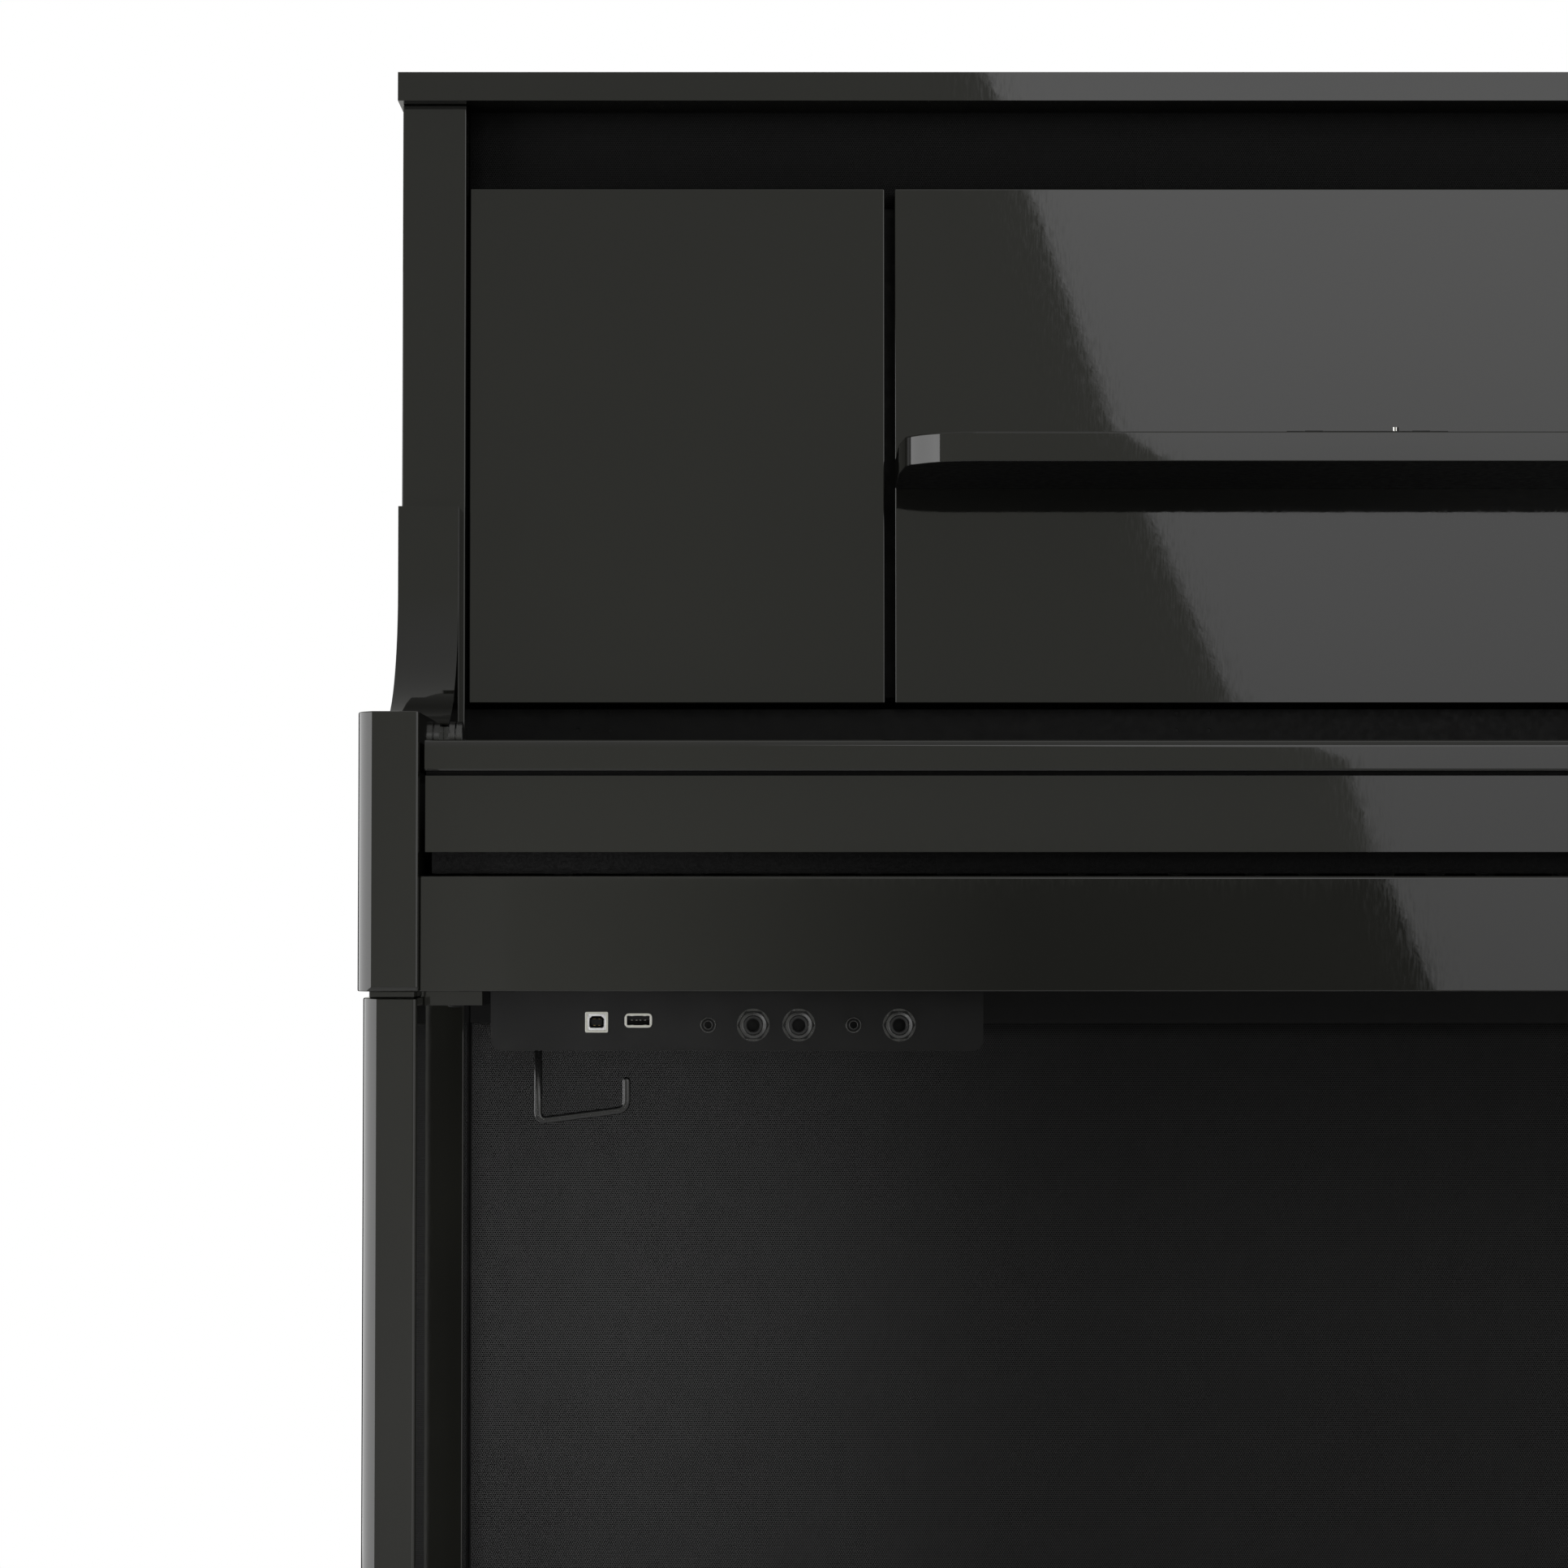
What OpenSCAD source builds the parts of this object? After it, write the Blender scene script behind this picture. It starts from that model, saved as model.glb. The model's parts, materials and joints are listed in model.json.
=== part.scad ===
// Upright digital piano in polished ebony. Millimetres, +Z up, +X to the player's right,
// the player sits on the -Y side. The origin is on the floor under the middle of the piano.

/* [Cabinet] */
// Width over the top lid
lid_w = 1380; // [1376:1:1400]
// Width over the side boards, arms and legs
case_w = 1376; // [1372:1:1384]
// Height over the top lid
height = 1182; // [1150:1:1240]
// Depth of the side boards, front edge to back panel
case_d = 245; // [235:1:280]
// How far the arms stand out in front of the side boards
arm_reach = 239; // [230:1:260]
// Thickness of the side boards
side_t = 37; // [28:1:37]
// Thickness of the top lid
lid_t = 16.7; // [14:0.1:20]
// Overhang of the lid in front of the side boards
lid_over = 12; // [0:1:20]

/* [Keyboard] */
// Underside of the key bed above the floor
bed_z = 653; // [640:1:660]
// Top of the white keys above the floor
key_z = 712; // [708:0.5:713]
// Distance from one white key to the next
key_pitch = 23.5; // [23.2:0.1:23.5]
// Number of keys
key_count = 88; // [85:1:88]
// Top of the key slip above the floor
slip_z = 713; // [711:0.5:714]

/* [Fallboard] */
// Underside of the fallboard's front flap above the floor
flap_z = 725.3; // [725:0.1:730]
// Top of the closed fallboard above the floor
fall_z = 783.7; // [780:0.1:786]
// Thickness of the fallboard
fall_t = 16.2; // [14:0.1:18]

/* [Music desk] */
// Top of the music ledge above the floor
ledge_z = 958.1; // [958:0.1:975]
// Width of the middle front panel
desk_w = 802.8; // [760:0.1:840]
// How far the ledge stands out from the panel
ledge_d = 130; // [100:1:132]

/* [Pedals] */
// Distance between pedals
pedal_pitch = 68; // [60:1:80]
// Top of the pedals above the floor
pedal_z = 78; // [74:1:80]

/* [Hidden] */
$fn = 48;
e = 0.01;

// Lid hinge barrel, just behind the rear top edge.
hinge_gap = 3.8;
hinge_r = 3;
hinge_pin_r = 1.5;
hinge_bore_r = 1.55;
hinge_len = 70;
hinge_step = hinge_len / 5;
hinge_xs = [-470, 0, 470];

// Planes shared by many boards.
depth = arm_reach + case_d + hinge_gap + hinge_r;
side_y = arm_reach - depth / 2;                      // front edge of the side boards
front_y = side_y - arm_reach;                        // front face of the arms
back_y = side_y + case_d;                            // rear face of the cabinet
side_x = case_w / 2;                                 // outer face of the side boards
in_x = side_x - side_t;                              // inner face of the side boards
arm_in_x = side_x - 33;                              // inner face of the arms
lid_z = height - lid_t;                              // underside of the lid
panel_y = side_y + 4;                                // front face of the upper panels
panel_t = 16.5;
panel_z0 = 816;                                      // bottom edge of the upper panels
panel_z1 = 1117;                                     // top edge of the upper panels
baffle_y = side_y + 45;                              // front face of the lower baffle
foot_h = 8;
toe_z = 50;
arm_top = 798.2;
bed_t = 20;

// Outer front edges of the arms and legs: a curve that meets the front face at a crisp line.
edge_r = 20.4;
edge_a = 35;

// Lid hinge line.
hinge_y = back_y + hinge_gap;
hinge_z = lid_z + 1.2;

// Fallboard pivot line.
pivot_y = -78.5;
pivot_z = fall_z - fall_t / 2;
pivot_r = 4;
pivot_bore_r = 4.06;
fall_front = front_y + 5;
fall_back = -50.5;
fall_core_x = arm_in_x - 13;                          // half width between the pivot brackets
fall_nose_x = arm_in_x - 2.4;                        // half width of the front strip

// Keyboard.
key_front = -226;
key_head = 50;                                       // full-width part of a white key
key_tail_y = 2;
key_axis_y = -8;
key_axis_z = key_z - 19;
key_rod_r = 2;
key_notch_r = 2.05;
key_gap = 1;
sharp_front = key_front + key_head + 1;
sharp_h = 11.5;
sharp_w = 10.6;
white_total = round(key_count * 52 / 88);
keys_x0 = -white_total * key_pitch / 2;

// Position of each sharp from the line between its two white neighbours.
SHARP_OFFSET = [["c", -2.6], ["d", 2.6], ["f", -3.4], ["g", 0], ["a", 3.4]];
WHITE_NAMES = ["a", "b", "c", "d", "e", "f", "g"];

// Panel buttons, volume knob and power button, all on the key blocks.
BLOCK_Z = key_z - 2;                                 // top of the key blocks
BUTTON_X = -633;
BUTTON_YS = [-200, -186, -172];
KNOB_X = -633;
KNOB_Y = -190;
POWER_X = -633;
POWER_Y = -158;

// The connector box under the key bed.
BOX_X0 = -620.5;
BOX_X1 = -361;
BOX_Z0 = 621.4;
BOX_Y0 = -205;
BOX_D = 58;
USB_B = [-564.7, 636.3];
USB_A = [-542.7, 637.2];
MINIS = [[-506.0, 634.8], [-429.4, 634.8]];
QUARTERS = [[-482.2, 634.8], [-458.2, 634.8], [-405.3, 634.8]];

// Path of the headphone hook as [x, z] points.
HOOK_Y = -190;
HOOK = [[-596.3, BOX_Z0], [-596.3, 583.7], [-549.5, 589.7], [-549.5, 605]];

// Pedal rod.
PEDAL_PIVOT_Y = 130;
PEDAL_PIVOT_Z = 75;

// Stay arm pivot and length.
STAY_Y = 172;
STAY_Z = 1150;
STAY_L = 95;

// Page holders and the lugs they turn on.
HOLDER_Y = panel_y - ledge_d + 28.4;
HOLDER_Z = ledge_z + 2.1;
HOLDER_X0 = -186.5;
HOLDER_X1 = -97;
LUG_XS = [HOLDER_X0 + 10, HOLDER_X1 - 20];

// Screws in the rail behind the fallboard, as [x, z] points.
SCREW_SPOTS = [for (x = [-577, -227, 227, 577], dx = [-9.5, 9.5], z = [801.2, 811.2]) [x + dx, z]];

ebony = [0.06, 0.06, 0.058];
satin = [0.09, 0.09, 0.09];
cloth = [0.12, 0.12, 0.12];
steel = [0.62, 0.62, 0.63];
brass = [0.8, 0.66, 0.36];
ivory = [0.94, 0.93, 0.89];

// ---------------------------------------------------------------- building blocks

// Points of an outer front edge, from the side face at x to the front face at y.
function edge_curve(x, y) =
  [for (a = [90:-5:edge_a]) [x + edge_r * (1 - sin(a)), y + edge_r * (cos(edge_a) - cos(a))]];

// A box from its lowest to its highest corner.
module block(lo, hi) {
  translate(lo) cube(hi - lo);
}

// The same child on both sides of the middle plane.
module both_sides() {
  children();
  mirror([1, 0, 0]) children();
}

// A round bar along X.
module bar_x(x0, x1, y, z, r) {
  translate([x0, y, z]) rotate([0, 90, 0]) cylinder(r = r, h = x1 - x0);
}

// A round bar along Y.
module bar_y(y0, y1, x, z, r) {
  translate([x, y0, z]) rotate([-90, 0, 0]) cylinder(r = r, h = y1 - y0);
}

// A flat outline in the YZ plane, drawn as [y, z] points, made x0 to x1 thick.
module side_profile(points, x0, x1) {
  translate([x0, 0, 0]) rotate([90, 0, 90]) linear_extrude(x1 - x0) polygon(points);
}

// ---------------------------------------------------------------- cabinet

// A side board, from the toe block to the lid. It stands on the -X side.
module side_board() {
  color(ebony) block([-side_x, side_y, toe_z], [-in_x, back_y, lid_z]);
}

module side_board_left() side_board();
module side_board_right() mirror([1, 0, 0]) side_board();

// The curved cheek that carries each arm's line up the side board's front edge.
module cheeks() {
  r = 80;
  y0 = side_y - 21;
  top = 928.4;
  curve = [for (a = [0:6:90]) [y0 - r + r * cos(a), arm_top + r - r * sin(a)]];
  outline = concat([[side_y, arm_top], [side_y, top], [y0, top]], curve);
  color(ebony) both_sides() side_profile(outline, -side_x, -side_x + 34.8);
}

// An arm: curved along its outer front edge and lightly chamfered along its bottom edge.
module arm() {
  bottom = 2;
  color(ebony) difference() {
    translate([0, 0, bed_z]) linear_extrude(arm_top - bed_z)
      polygon(concat(edge_curve(-side_x, front_y),
                     [[-arm_in_x - 1, front_y], [-arm_in_x, front_y + 1], [-arm_in_x, side_y],
                      [-side_x, side_y]]));
    side_profile([[front_y - 1, bed_z - 1], [front_y + bottom, bed_z - 1],
                  [front_y + bottom, bed_z], [front_y, bed_z + bottom],
                  [front_y - 1, bed_z + bottom]], -side_x - 1, -arm_in_x + 1);
  }
}

module arm_left() arm();
module arm_right() mirror([1, 0, 0]) arm();

// Free-standing front legs under the arms.
module front_legs() {
  x0 = -side_x + 0.7;
  x1 = x0 + 29.8;
  y0 = front_y + 21;
  y1 = y0 + 52;
  edge = 1.5;
  color(ebony) both_sides() translate([0, 0, toe_z]) linear_extrude(bed_z - 3.7 - toe_z)
    polygon(concat(edge_curve(x0, y0),
                   [[x1 - edge, y0], [x1, y0 + edge], [x1, y1 - edge], [x1 - edge, y1],
                    [x0 + edge, y1], [x0, y1 - edge]]));
}

// Plates that screw each leg to the arm above it and to the key bed beside it.
module leg_brackets() {
  leg_y = front_y + 21;
  leg_in = -side_x + 30.5;
  color(satin) both_sides() {
    block([-side_x + 5, leg_y + 4, bed_z - 3.7], [leg_in - 2, leg_y + 48, bed_z]);
    block([leg_in, leg_y + 38, bed_z - 8.4], [leg_in + 31.5, leg_y + 150, bed_z]);
  }
}

// Toe blocks: each joins a leg to its side board at the floor.
module toe_blocks() {
  color(ebony) both_sides()
    side_profile([[front_y + 16, foot_h], [back_y, foot_h], [back_y, toe_z],
                  [front_y + 20, toe_z], [front_y + 12, toe_z - 8],
                  [front_y + 12, foot_h + 4]], -side_x, -in_x);
}

// Levelling feet under the toe blocks.
module levelling_feet() {
  color(satin) both_sides() for (y = [front_y + 40, back_y - 30])
    translate([-side_x + side_t / 2, y, 0]) {
      cylinder(r1 = 14, r2 = 15, h = 3);
      translate([0, 0, 3]) cylinder(r = 15, h = foot_h - 3);
    }
}

module bottom_board() {
  color(satin) block([-in_x, baffle_y + 18, toe_z], [in_x, back_y - 12, toe_z + 12]);
}

// The rail that the pedals come through.
module bottom_rail() {
  color(ebony) difference() {
    block([-in_x, baffle_y - 2, toe_z], [in_x, baffle_y + 18, 118]);
    for (i = [-1:1])
      block([i * pedal_pitch - 15, baffle_y - 3, 58], [i * pedal_pitch + 15, baffle_y + 19, 90]);
  }
}

// Back panel with an opening for the power inlet.
module back_panel() {
  color(satin) difference() {
    block([-in_x, back_y - 12, toe_z], [in_x, back_y, lid_z]);
    block([-584, back_y - 13, 566], [-556, back_y + 1, 590]);
  }
}

// Board behind the lower grille cloth, with the woofer cut-outs.
module lower_baffle() {
  color(satin) difference() {
    union() {
      block([-in_x, baffle_y, 118], [in_x, baffle_y + 18, bed_z]);
      block([-in_x, baffle_y - 4, 629.7], [in_x, baffle_y, bed_z]);
    }
    for (x = [-330, 330]) bar_y(baffle_y - 5, baffle_y + 19, x, 390, 60);
  }
}

// Black cloth stretched over the lower baffle.
module lower_grille_cloth() {
  color(cloth) block([-in_x + 1.5, baffle_y - 2, 118.5], [in_x - 1.5, baffle_y, 629.7]);
}

// Board behind the upper panels, with its deck under the lid and the tweeter holes.
module upper_baffle() {
  y0 = panel_y + panel_t + 3;
  color(satin) difference() {
    union() {
      block([-in_x, y0, panel_z0 + 4], [in_x, y0 + 16, lid_z]);
      block([-in_x, y0 + 16, 1104], [in_x, back_y - 12, 1116]);
    }
    for (x = [-520, 520]) bar_y(y0 - 1, y0 + 17, x, 1142, 19);
  }
}

// Band of cloth between the upper panels and the lid.
module upper_grille_cloth() {
  y0 = panel_y + panel_t + 1;
  color(cloth) block([-in_x + 0.5, y0, panel_z1 - 8], [in_x - 0.5, y0 + 2, lid_z - 0.3]);
}

// Fixed front panels beside the music desk.
module upper_side_panels() {
  color(ebony) both_sides()
    block([-in_x + 1.8, panel_y, panel_z0], [-desk_w / 2 - 5.9, panel_y + panel_t, panel_z1]);
}

module music_panel() {
  color(ebony)
    block([-desk_w / 2, panel_y, panel_z0], [desk_w / 2, panel_y + panel_t, panel_z1]);
}

// Ledge for sheet music: straight beside the panel, then cut back and rounded at its front.
module music_ledge() {
  t = 16.8;
  y1 = panel_y;
  y0 = y1 - ledge_d;
  w = desk_w / 2;
  r = 42;
  cut_y = y1 - 70;
  color(ebony) translate([0, 0, ledge_z - t]) linear_extrude(t)
    polygon(concat(
      [[w, y1], [-w, y1], [-w, cut_y]],
      [for (a = [205:5:270]) [-w + 40.5 + r * cos(a), y0 + r + r * sin(a)]],
      [for (a = [270:5:335]) [w - 40.5 + r * cos(a), y0 + r + r * sin(a)]],
      [[w, cut_y]]));
}

// Stiff board under the keys.
module key_bed() {
  color(satin) {
    block([-arm_in_x, key_front, bed_z], [arm_in_x, side_y, bed_z + bed_t]);
    block([-in_x, side_y - e, bed_z], [in_x, 150, bed_z + bed_t]);
  }
}

// Rail in front of the keys, with a small step along its inner top edge.
module key_slip() {
  y0 = front_y + 7;
  color(ebony)
    side_profile([[y0, bed_z], [key_front, bed_z], [key_front, slip_z], [y0 + 1, slip_z],
                  [y0, slip_z - 1]], -arm_in_x, arm_in_x);
}

// Blocks that fill the space between the end keys and the arms.
module key_blocks() {
  x0 = -arm_in_x;
  x1 = keys_x0 - 1;
  color(ebony) {
    difference() {
      block([x0, key_front, bed_z + bed_t], [x1, -30, BLOCK_Z]);
      for (y = BUTTON_YS) translate([BUTTON_X, y, BLOCK_Z - 3]) cylinder(r = 4.6, h = 4);
    }
    mirror([1, 0, 0]) difference() {
      block([x0, key_front, bed_z + bed_t], [x1, -30, BLOCK_Z]);
      translate([KNOB_X, KNOB_Y, BLOCK_Z - 12]) cylinder(r = 3.06, h = 14);
      translate([POWER_X, POWER_Y, BLOCK_Z - 4]) cylinder(r = 7.4, h = 5);
    }
  }
}

// Dark rail across the cabinet behind the fallboard, with the shelf that covers the key tails.
module fallboard_rail() {
  y0 = panel_y + 16;
  color(satin) difference() {
    union() {
      block([-in_x, y0, key_z + 21], [in_x, y0 + 14, panel_z0 - 2.5]);
      block([-in_x, pivot_y + 12.5, key_z + 21], [in_x, y0 + e, key_z + 29]);
    }
    for (p = SCREW_SPOTS) bar_y(y0 - 1, y0 + 8, p[0], p[1], 1.3);
  }
}

// Pivot pins of the fallboard on their side plates, each with its soft-close damper barrel,
// and the screws sunk in the rail behind the fallboard.
module fallboard_hardware() {
  y0 = pivot_y - 9;
  z0 = fall_z + 7.8;
  color(steel) both_sides() {
    block([-arm_in_x, pivot_y - 22, pivot_z - 16], [-arm_in_x + 2.6, pivot_y + 14, z0 + 6]);
    bar_x(-arm_in_x, -fall_core_x + 20, pivot_y, pivot_z, pivot_r);
    bar_x(-arm_in_x, -arm_in_x + 10, y0, z0, 7);
    bar_x(-arm_in_x + 2.6, -arm_in_x + 5.8, y0, z0, 9.5);
    bar_x(-arm_in_x + 6.6, -arm_in_x + 9.8, y0, z0, 9.5);
  }
  color(steel) for (p = SCREW_SPOTS) bar_y(panel_y + 16.6, panel_y + 24, p[0], p[1], 1.28);
}

// ---------------------------------------------------------------- electronics

// Plate with the display on the left key block.
module control_panel() {
  z0 = BLOCK_Z;
  color(satin) difference() {
    union() {
      block([-651, -216, z0], [-615, -96, z0 + 1.6]);
      block([-646, -150, z0 + 1.6], [-620, -108, z0 + 2.4]);
    }
    for (y = BUTTON_YS) translate([BUTTON_X, y, z0 - 1]) cylinder(r = 4.6, h = 4);
  }
}

// A push button of the control panel.
module panel_button(i) {
  color(satin) translate([BUTTON_X, BUTTON_YS[i], BLOCK_Z - 1.6]) cylinder(r = 4.3, h = 5.2);
}

module tone_button() panel_button(0);
module metronome_button() panel_button(1);
module play_button() panel_button(2);

module power_button() {
  color(satin) translate([-POWER_X, POWER_Y, BLOCK_Z - 2.4]) cylinder(r = 7.1, h = 5);
}

module volume_knob() {
  z0 = BLOCK_Z + 0.6;
  color(satin) translate([-KNOB_X, KNOB_Y, 0]) {
    translate([0, 0, BLOCK_Z - 10]) cylinder(r = 3, h = 11);
    difference() {
      translate([0, 0, z0]) cylinder(r = 9, h = 6);
      translate([-0.6, -9.5, z0 + 5]) cube([1.2, 6, 2]);
    }
  }
}

// Front outline of the box with its two lower corners rounded.
module box_outline(inset) {
  r = 5.5 - inset;
  x0 = BOX_X0 + inset;
  x1 = BOX_X1 - inset;
  z0 = BOX_Z0 + inset;
  z1 = bed_z - inset;
  translate([x0 + r, z0]) square([x1 - x0 - 2 * r, z1 - z0]);
  translate([x0, z0 + r]) square([x1 - x0, z1 - z0 - r]);
  for (x = [x0 + r, x1 - r]) translate([x, z0 + r]) circle(r = r);
}

module jack_box() {
  wall = 2.5;
  color(satin) difference() {
    translate([0, BOX_Y0 + BOX_D, 0]) rotate([90, 0, 0]) linear_extrude(BOX_D) box_outline(0);
    translate([0, BOX_Y0 + BOX_D - wall, 0]) rotate([90, 0, 0])
      linear_extrude(BOX_D - 2 * wall) box_outline(wall);
    block([USB_B[0] - 6, BOX_Y0 - 1, USB_B[1] - 5.5], [USB_B[0] + 6, BOX_Y0 + 5, USB_B[1] + 5.5]);
    block([USB_A[0] - 7.3, BOX_Y0 - 1, USB_A[1] - 3.6], [USB_A[0] + 7.3, BOX_Y0 + 5, USB_A[1] + 3.6]);
    for (p = MINIS) bar_y(BOX_Y0 - 1, BOX_Y0 + 5, p[0], p[1], 3.5);
    for (p = QUARTERS) bar_y(BOX_Y0 - 1, BOX_Y0 + 5, p[0], p[1], 5.2);
  }
}

// A rectangular metal socket shell, open at the front, with its tongue.
module usb_shell(p, w, h, tongue_h, tongue_z) {
  y0 = BOX_Y0 - 0.6;
  wall = 0.9;
  difference() {
    block([p[0] - w / 2, y0, p[1] - h / 2], [p[0] + w / 2, y0 + 16, p[1] + h / 2]);
    block([p[0] - w / 2 + wall, y0 - 1, p[1] - h / 2 + wall],
          [p[0] + w / 2 - wall, y0 + 15, p[1] + h / 2 - wall]);
  }
  block([p[0] - w / 2 + 2.6, y0 + 1.5, p[1] + tongue_z - tongue_h / 2],
        [p[0] + w / 2 - 2.6, y0 + 15.5, p[1] + tongue_z + tongue_h / 2]);
}

// A round audio socket: collar, nut and rear body with a blind bore from the front.
module round_socket(p, bore_r, bore_len, collar_r, nut_r, proud) {
  y0 = BOX_Y0 - proud;
  difference() {
    union() {
      bar_y(y0, BOX_Y0 + 6, p[0], p[1], collar_r);
      translate([p[0], BOX_Y0 - proud * 0.6, p[1]]) rotate([-90, 0, 0])
        cylinder(r = nut_r, h = proud * 0.6, $fn = 6);
      block([p[0] - collar_r - 2, BOX_Y0 + 4, p[1] - collar_r - 2],
            [p[0] + collar_r + 2, BOX_Y0 + bore_len + 3, p[1] + collar_r + 2]);
    }
    bar_y(y0 - 1, y0 + bore_len, p[0], p[1], bore_r);
  }
}

// All the sockets of the connector box.
module sockets() {
  color(steel) {
    usb_shell(USB_B, 12, 11, 3.2, 0);
    usb_shell(USB_A, 14.4, 7, 1.8, 1);
    for (p = MINIS) round_socket(p, 1.8, 14, 3.4, 4.2, 1.2);
    for (p = QUARTERS) round_socket(p, 3.25, 30, 5.1, 8.2, 3);
  }
}

// Rod hook for headphones under the connector box, with a ball at each bend and at the tip.
module headphone_hook() {
  r = 2;
  color(satin) translate([0, HOOK_Y, 0]) {
    for (i = [0:2]) {
      d = HOOK[i + 1] - HOOK[i];
      translate([HOOK[i][0], 0, HOOK[i][1]]) rotate([0, atan2(d[0], d[1]), 0])
        cylinder(r = r, h = norm(d));
    }
    for (i = [1:3]) translate([HOOK[i][0], 0, HOOK[i][1]]) sphere(r = r + 0.3);
  }
}

// A loudspeaker on the rear face of its baffle: frame, basket and magnet.
module driver(x, z, y0, r_frame, depth) {
  translate([x, y0, z]) rotate([-90, 0, 0]) {
    cylinder(r = r_frame, h = 3);
    translate([0, 0, 3]) cylinder(r1 = r_frame * 0.82, r2 = r_frame * 0.5, h = depth * 0.55);
    translate([0, 0, 3 + depth * 0.55]) cylinder(r = r_frame * 0.5, h = depth * 0.45);
  }
}

module speakers() {
  tweeter_y = panel_y + panel_t + 19;
  color(steel) {
    for (x = [-330, 330]) driver(x, 390, baffle_y + 18, 68, 60);
    for (x = [-520, 520]) driver(x, 1142, tweeter_y, 22, 26);
  }
}

// Amplifier and processor board on the inside of the back panel, with its parts.
module main_board() {
  y1 = back_y - 12;
  color([0.1, 0.3, 0.16]) {
    block([-420, y1 - 8, 480], [-120, y1 - 6, 640]);
    for (x = [-410, -130], z = [490, 630]) bar_y(y1 - 6 - e, y1, x, z, 3);
    block([-400, y1 - 36, 500], [-330, y1 - 8 + e, 560]);
    block([-300, y1 - 12, 520], [-260, y1 - 8 + e, 560]);
    for (i = [0:3]) bar_y(y1 - 34, y1 - 8 + e, -300 + 26 * i, 600, 9);
  }
}

// Steel chassis under the keys: base, balance rail with its pivot rod, and front guide rail.
module key_chassis() {
  z0 = bed_z + bed_t;
  w = -keys_x0 - 2;
  rail_top = key_z - 21.5;
  color(steel) {
    block([-w, key_front + 14, z0], [w, key_tail_y + 30, z0 + 3]);
    block([-w, key_axis_y - 12, z0], [w, key_axis_y + 12, rail_top]);
    block([-w, key_axis_y - 0.8, rail_top - e], [w, key_axis_y + 0.8, key_axis_z]);
    bar_x(-w, w, key_axis_y, key_axis_z, key_rod_r);
    block([-w, key_front + 20, z0], [w, key_front + 32, z0 + 7]);
  }
}

// Pedal housing with the common pivot rod.
module pedal_box() {
  w = pedal_pitch + 42;
  y0 = baffle_y + 18;
  z0 = toe_z + 12;
  color(steel) {
    for (x = [-w, -pedal_pitch / 2 - 2, pedal_pitch / 2 - 2, w - 4])
      block([x, y0, z0], [x + 4, PEDAL_PIVOT_Y + 20, 106]);
    block([-w, y0, 106 - e], [w, PEDAL_PIVOT_Y + 20, 110]);
    bar_x(-w, w, PEDAL_PIVOT_Y, PEDAL_PIVOT_Z + 8, 4);
  }
}

// Mains inlet in the back panel: a collar with a recessed face and three blades.
module power_inlet() {
  y1 = back_y;
  color(satin) {
    difference() {
      union() {
        block([-588, y1, 562], [-552, y1 + 2, 594]);
        block([-583.8, y1 - 20, 566.2], [-556.2, y1 + e, 589.8]);
      }
      block([-581, y1 - 14, 569], [-559, y1 + 3, 587]);
    }
    for (p = [[-575, 576], [-565, 576], [-570, 581]])
      block([p[0] - 1, y1 - 14 - e, p[1] - 2], [p[0] + 1, y1 - 2, p[1] + 2]);
  }
}

// ---------------------------------------------------------------- lid

// The knuckles of one hinge, every second one from the first given.
module knuckles(x, first) {
  for (i = [first:2:4]) {
    x0 = x - hinge_len / 2 + i * hinge_step + 0.3;
    bar_x(x0, x0 + hinge_step - 0.6, hinge_y, hinge_z, hinge_r);
  }
}

// Tabs that join a leaf to its knuckles.
module leaf_tabs(x, first, z0, z1) {
  for (i = [first:2:4]) {
    x0 = x - hinge_len / 2 + i * hinge_step + 0.3;
    block([x0, back_y, z0], [x0 + hinge_step - 0.6, back_y + 1.4, z1]);
  }
}

// Fixed leaves of the lid hinges with their pins, and the stud that the stay arm turns on.
module lid_hinges() {
  leaf_top = hinge_z - 4;
  color(brass) {
    for (x = hinge_xs) {
      block([x - hinge_len / 2, back_y, hinge_z - 34], [x + hinge_len / 2, back_y + 1.4, leaf_top]);
      leaf_tabs(x, 0, leaf_top - e, hinge_z);
      knuckles(x, 0);
      bar_x(x - hinge_len / 2, x + hinge_len / 2, hinge_y, hinge_z, hinge_pin_r);
    }
    bar_x(in_x - 12, in_x, STAY_Y, STAY_Z, 3);
    bar_x(in_x - 5.6, in_x, STAY_Y, STAY_Z, 6);
    bar_x(in_x - 12.6, in_x - 10.4, STAY_Y, STAY_Z, 5);
  }
}

// Top lid with the moving hinge leaves on its rear edge.
module top_lid() {
  leaf_bottom = hinge_z + 4;
  color(ebony) {
    block([-lid_w / 2, side_y - lid_over, lid_z], [lid_w / 2, back_y, height]);
    for (x = hinge_xs) difference() {
      union() {
        block([x - hinge_len / 2, back_y - e, leaf_bottom],
              [x + hinge_len / 2, back_y + 1.4, height - 1]);
        leaf_tabs(x, 1, hinge_z, leaf_bottom + e);
        knuckles(x, 1);
      }
      bar_x(x - hinge_len / 2, x + hinge_len / 2, hinge_y, hinge_z, hinge_bore_r);
    }
  }
}

// Stay arm that follows the lid and holds it half open.
module lid_stay() {
  x0 = in_x - 10;
  color(steel) {
    difference() {
      union() {
        block([x0, STAY_Y - STAY_L, STAY_Z - 4], [x0 + 4, STAY_Y, STAY_Z + 4]);
        bar_x(x0, x0 + 4, STAY_Y, STAY_Z, 6.5);
        bar_x(x0 - 4, x0 + 4, STAY_Y - STAY_L, STAY_Z, 4);
      }
      bar_x(x0 - 1, x0 + 5, STAY_Y, STAY_Z, 3.05);
    }
  }
}

// ---------------------------------------------------------------- moving front pieces

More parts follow.
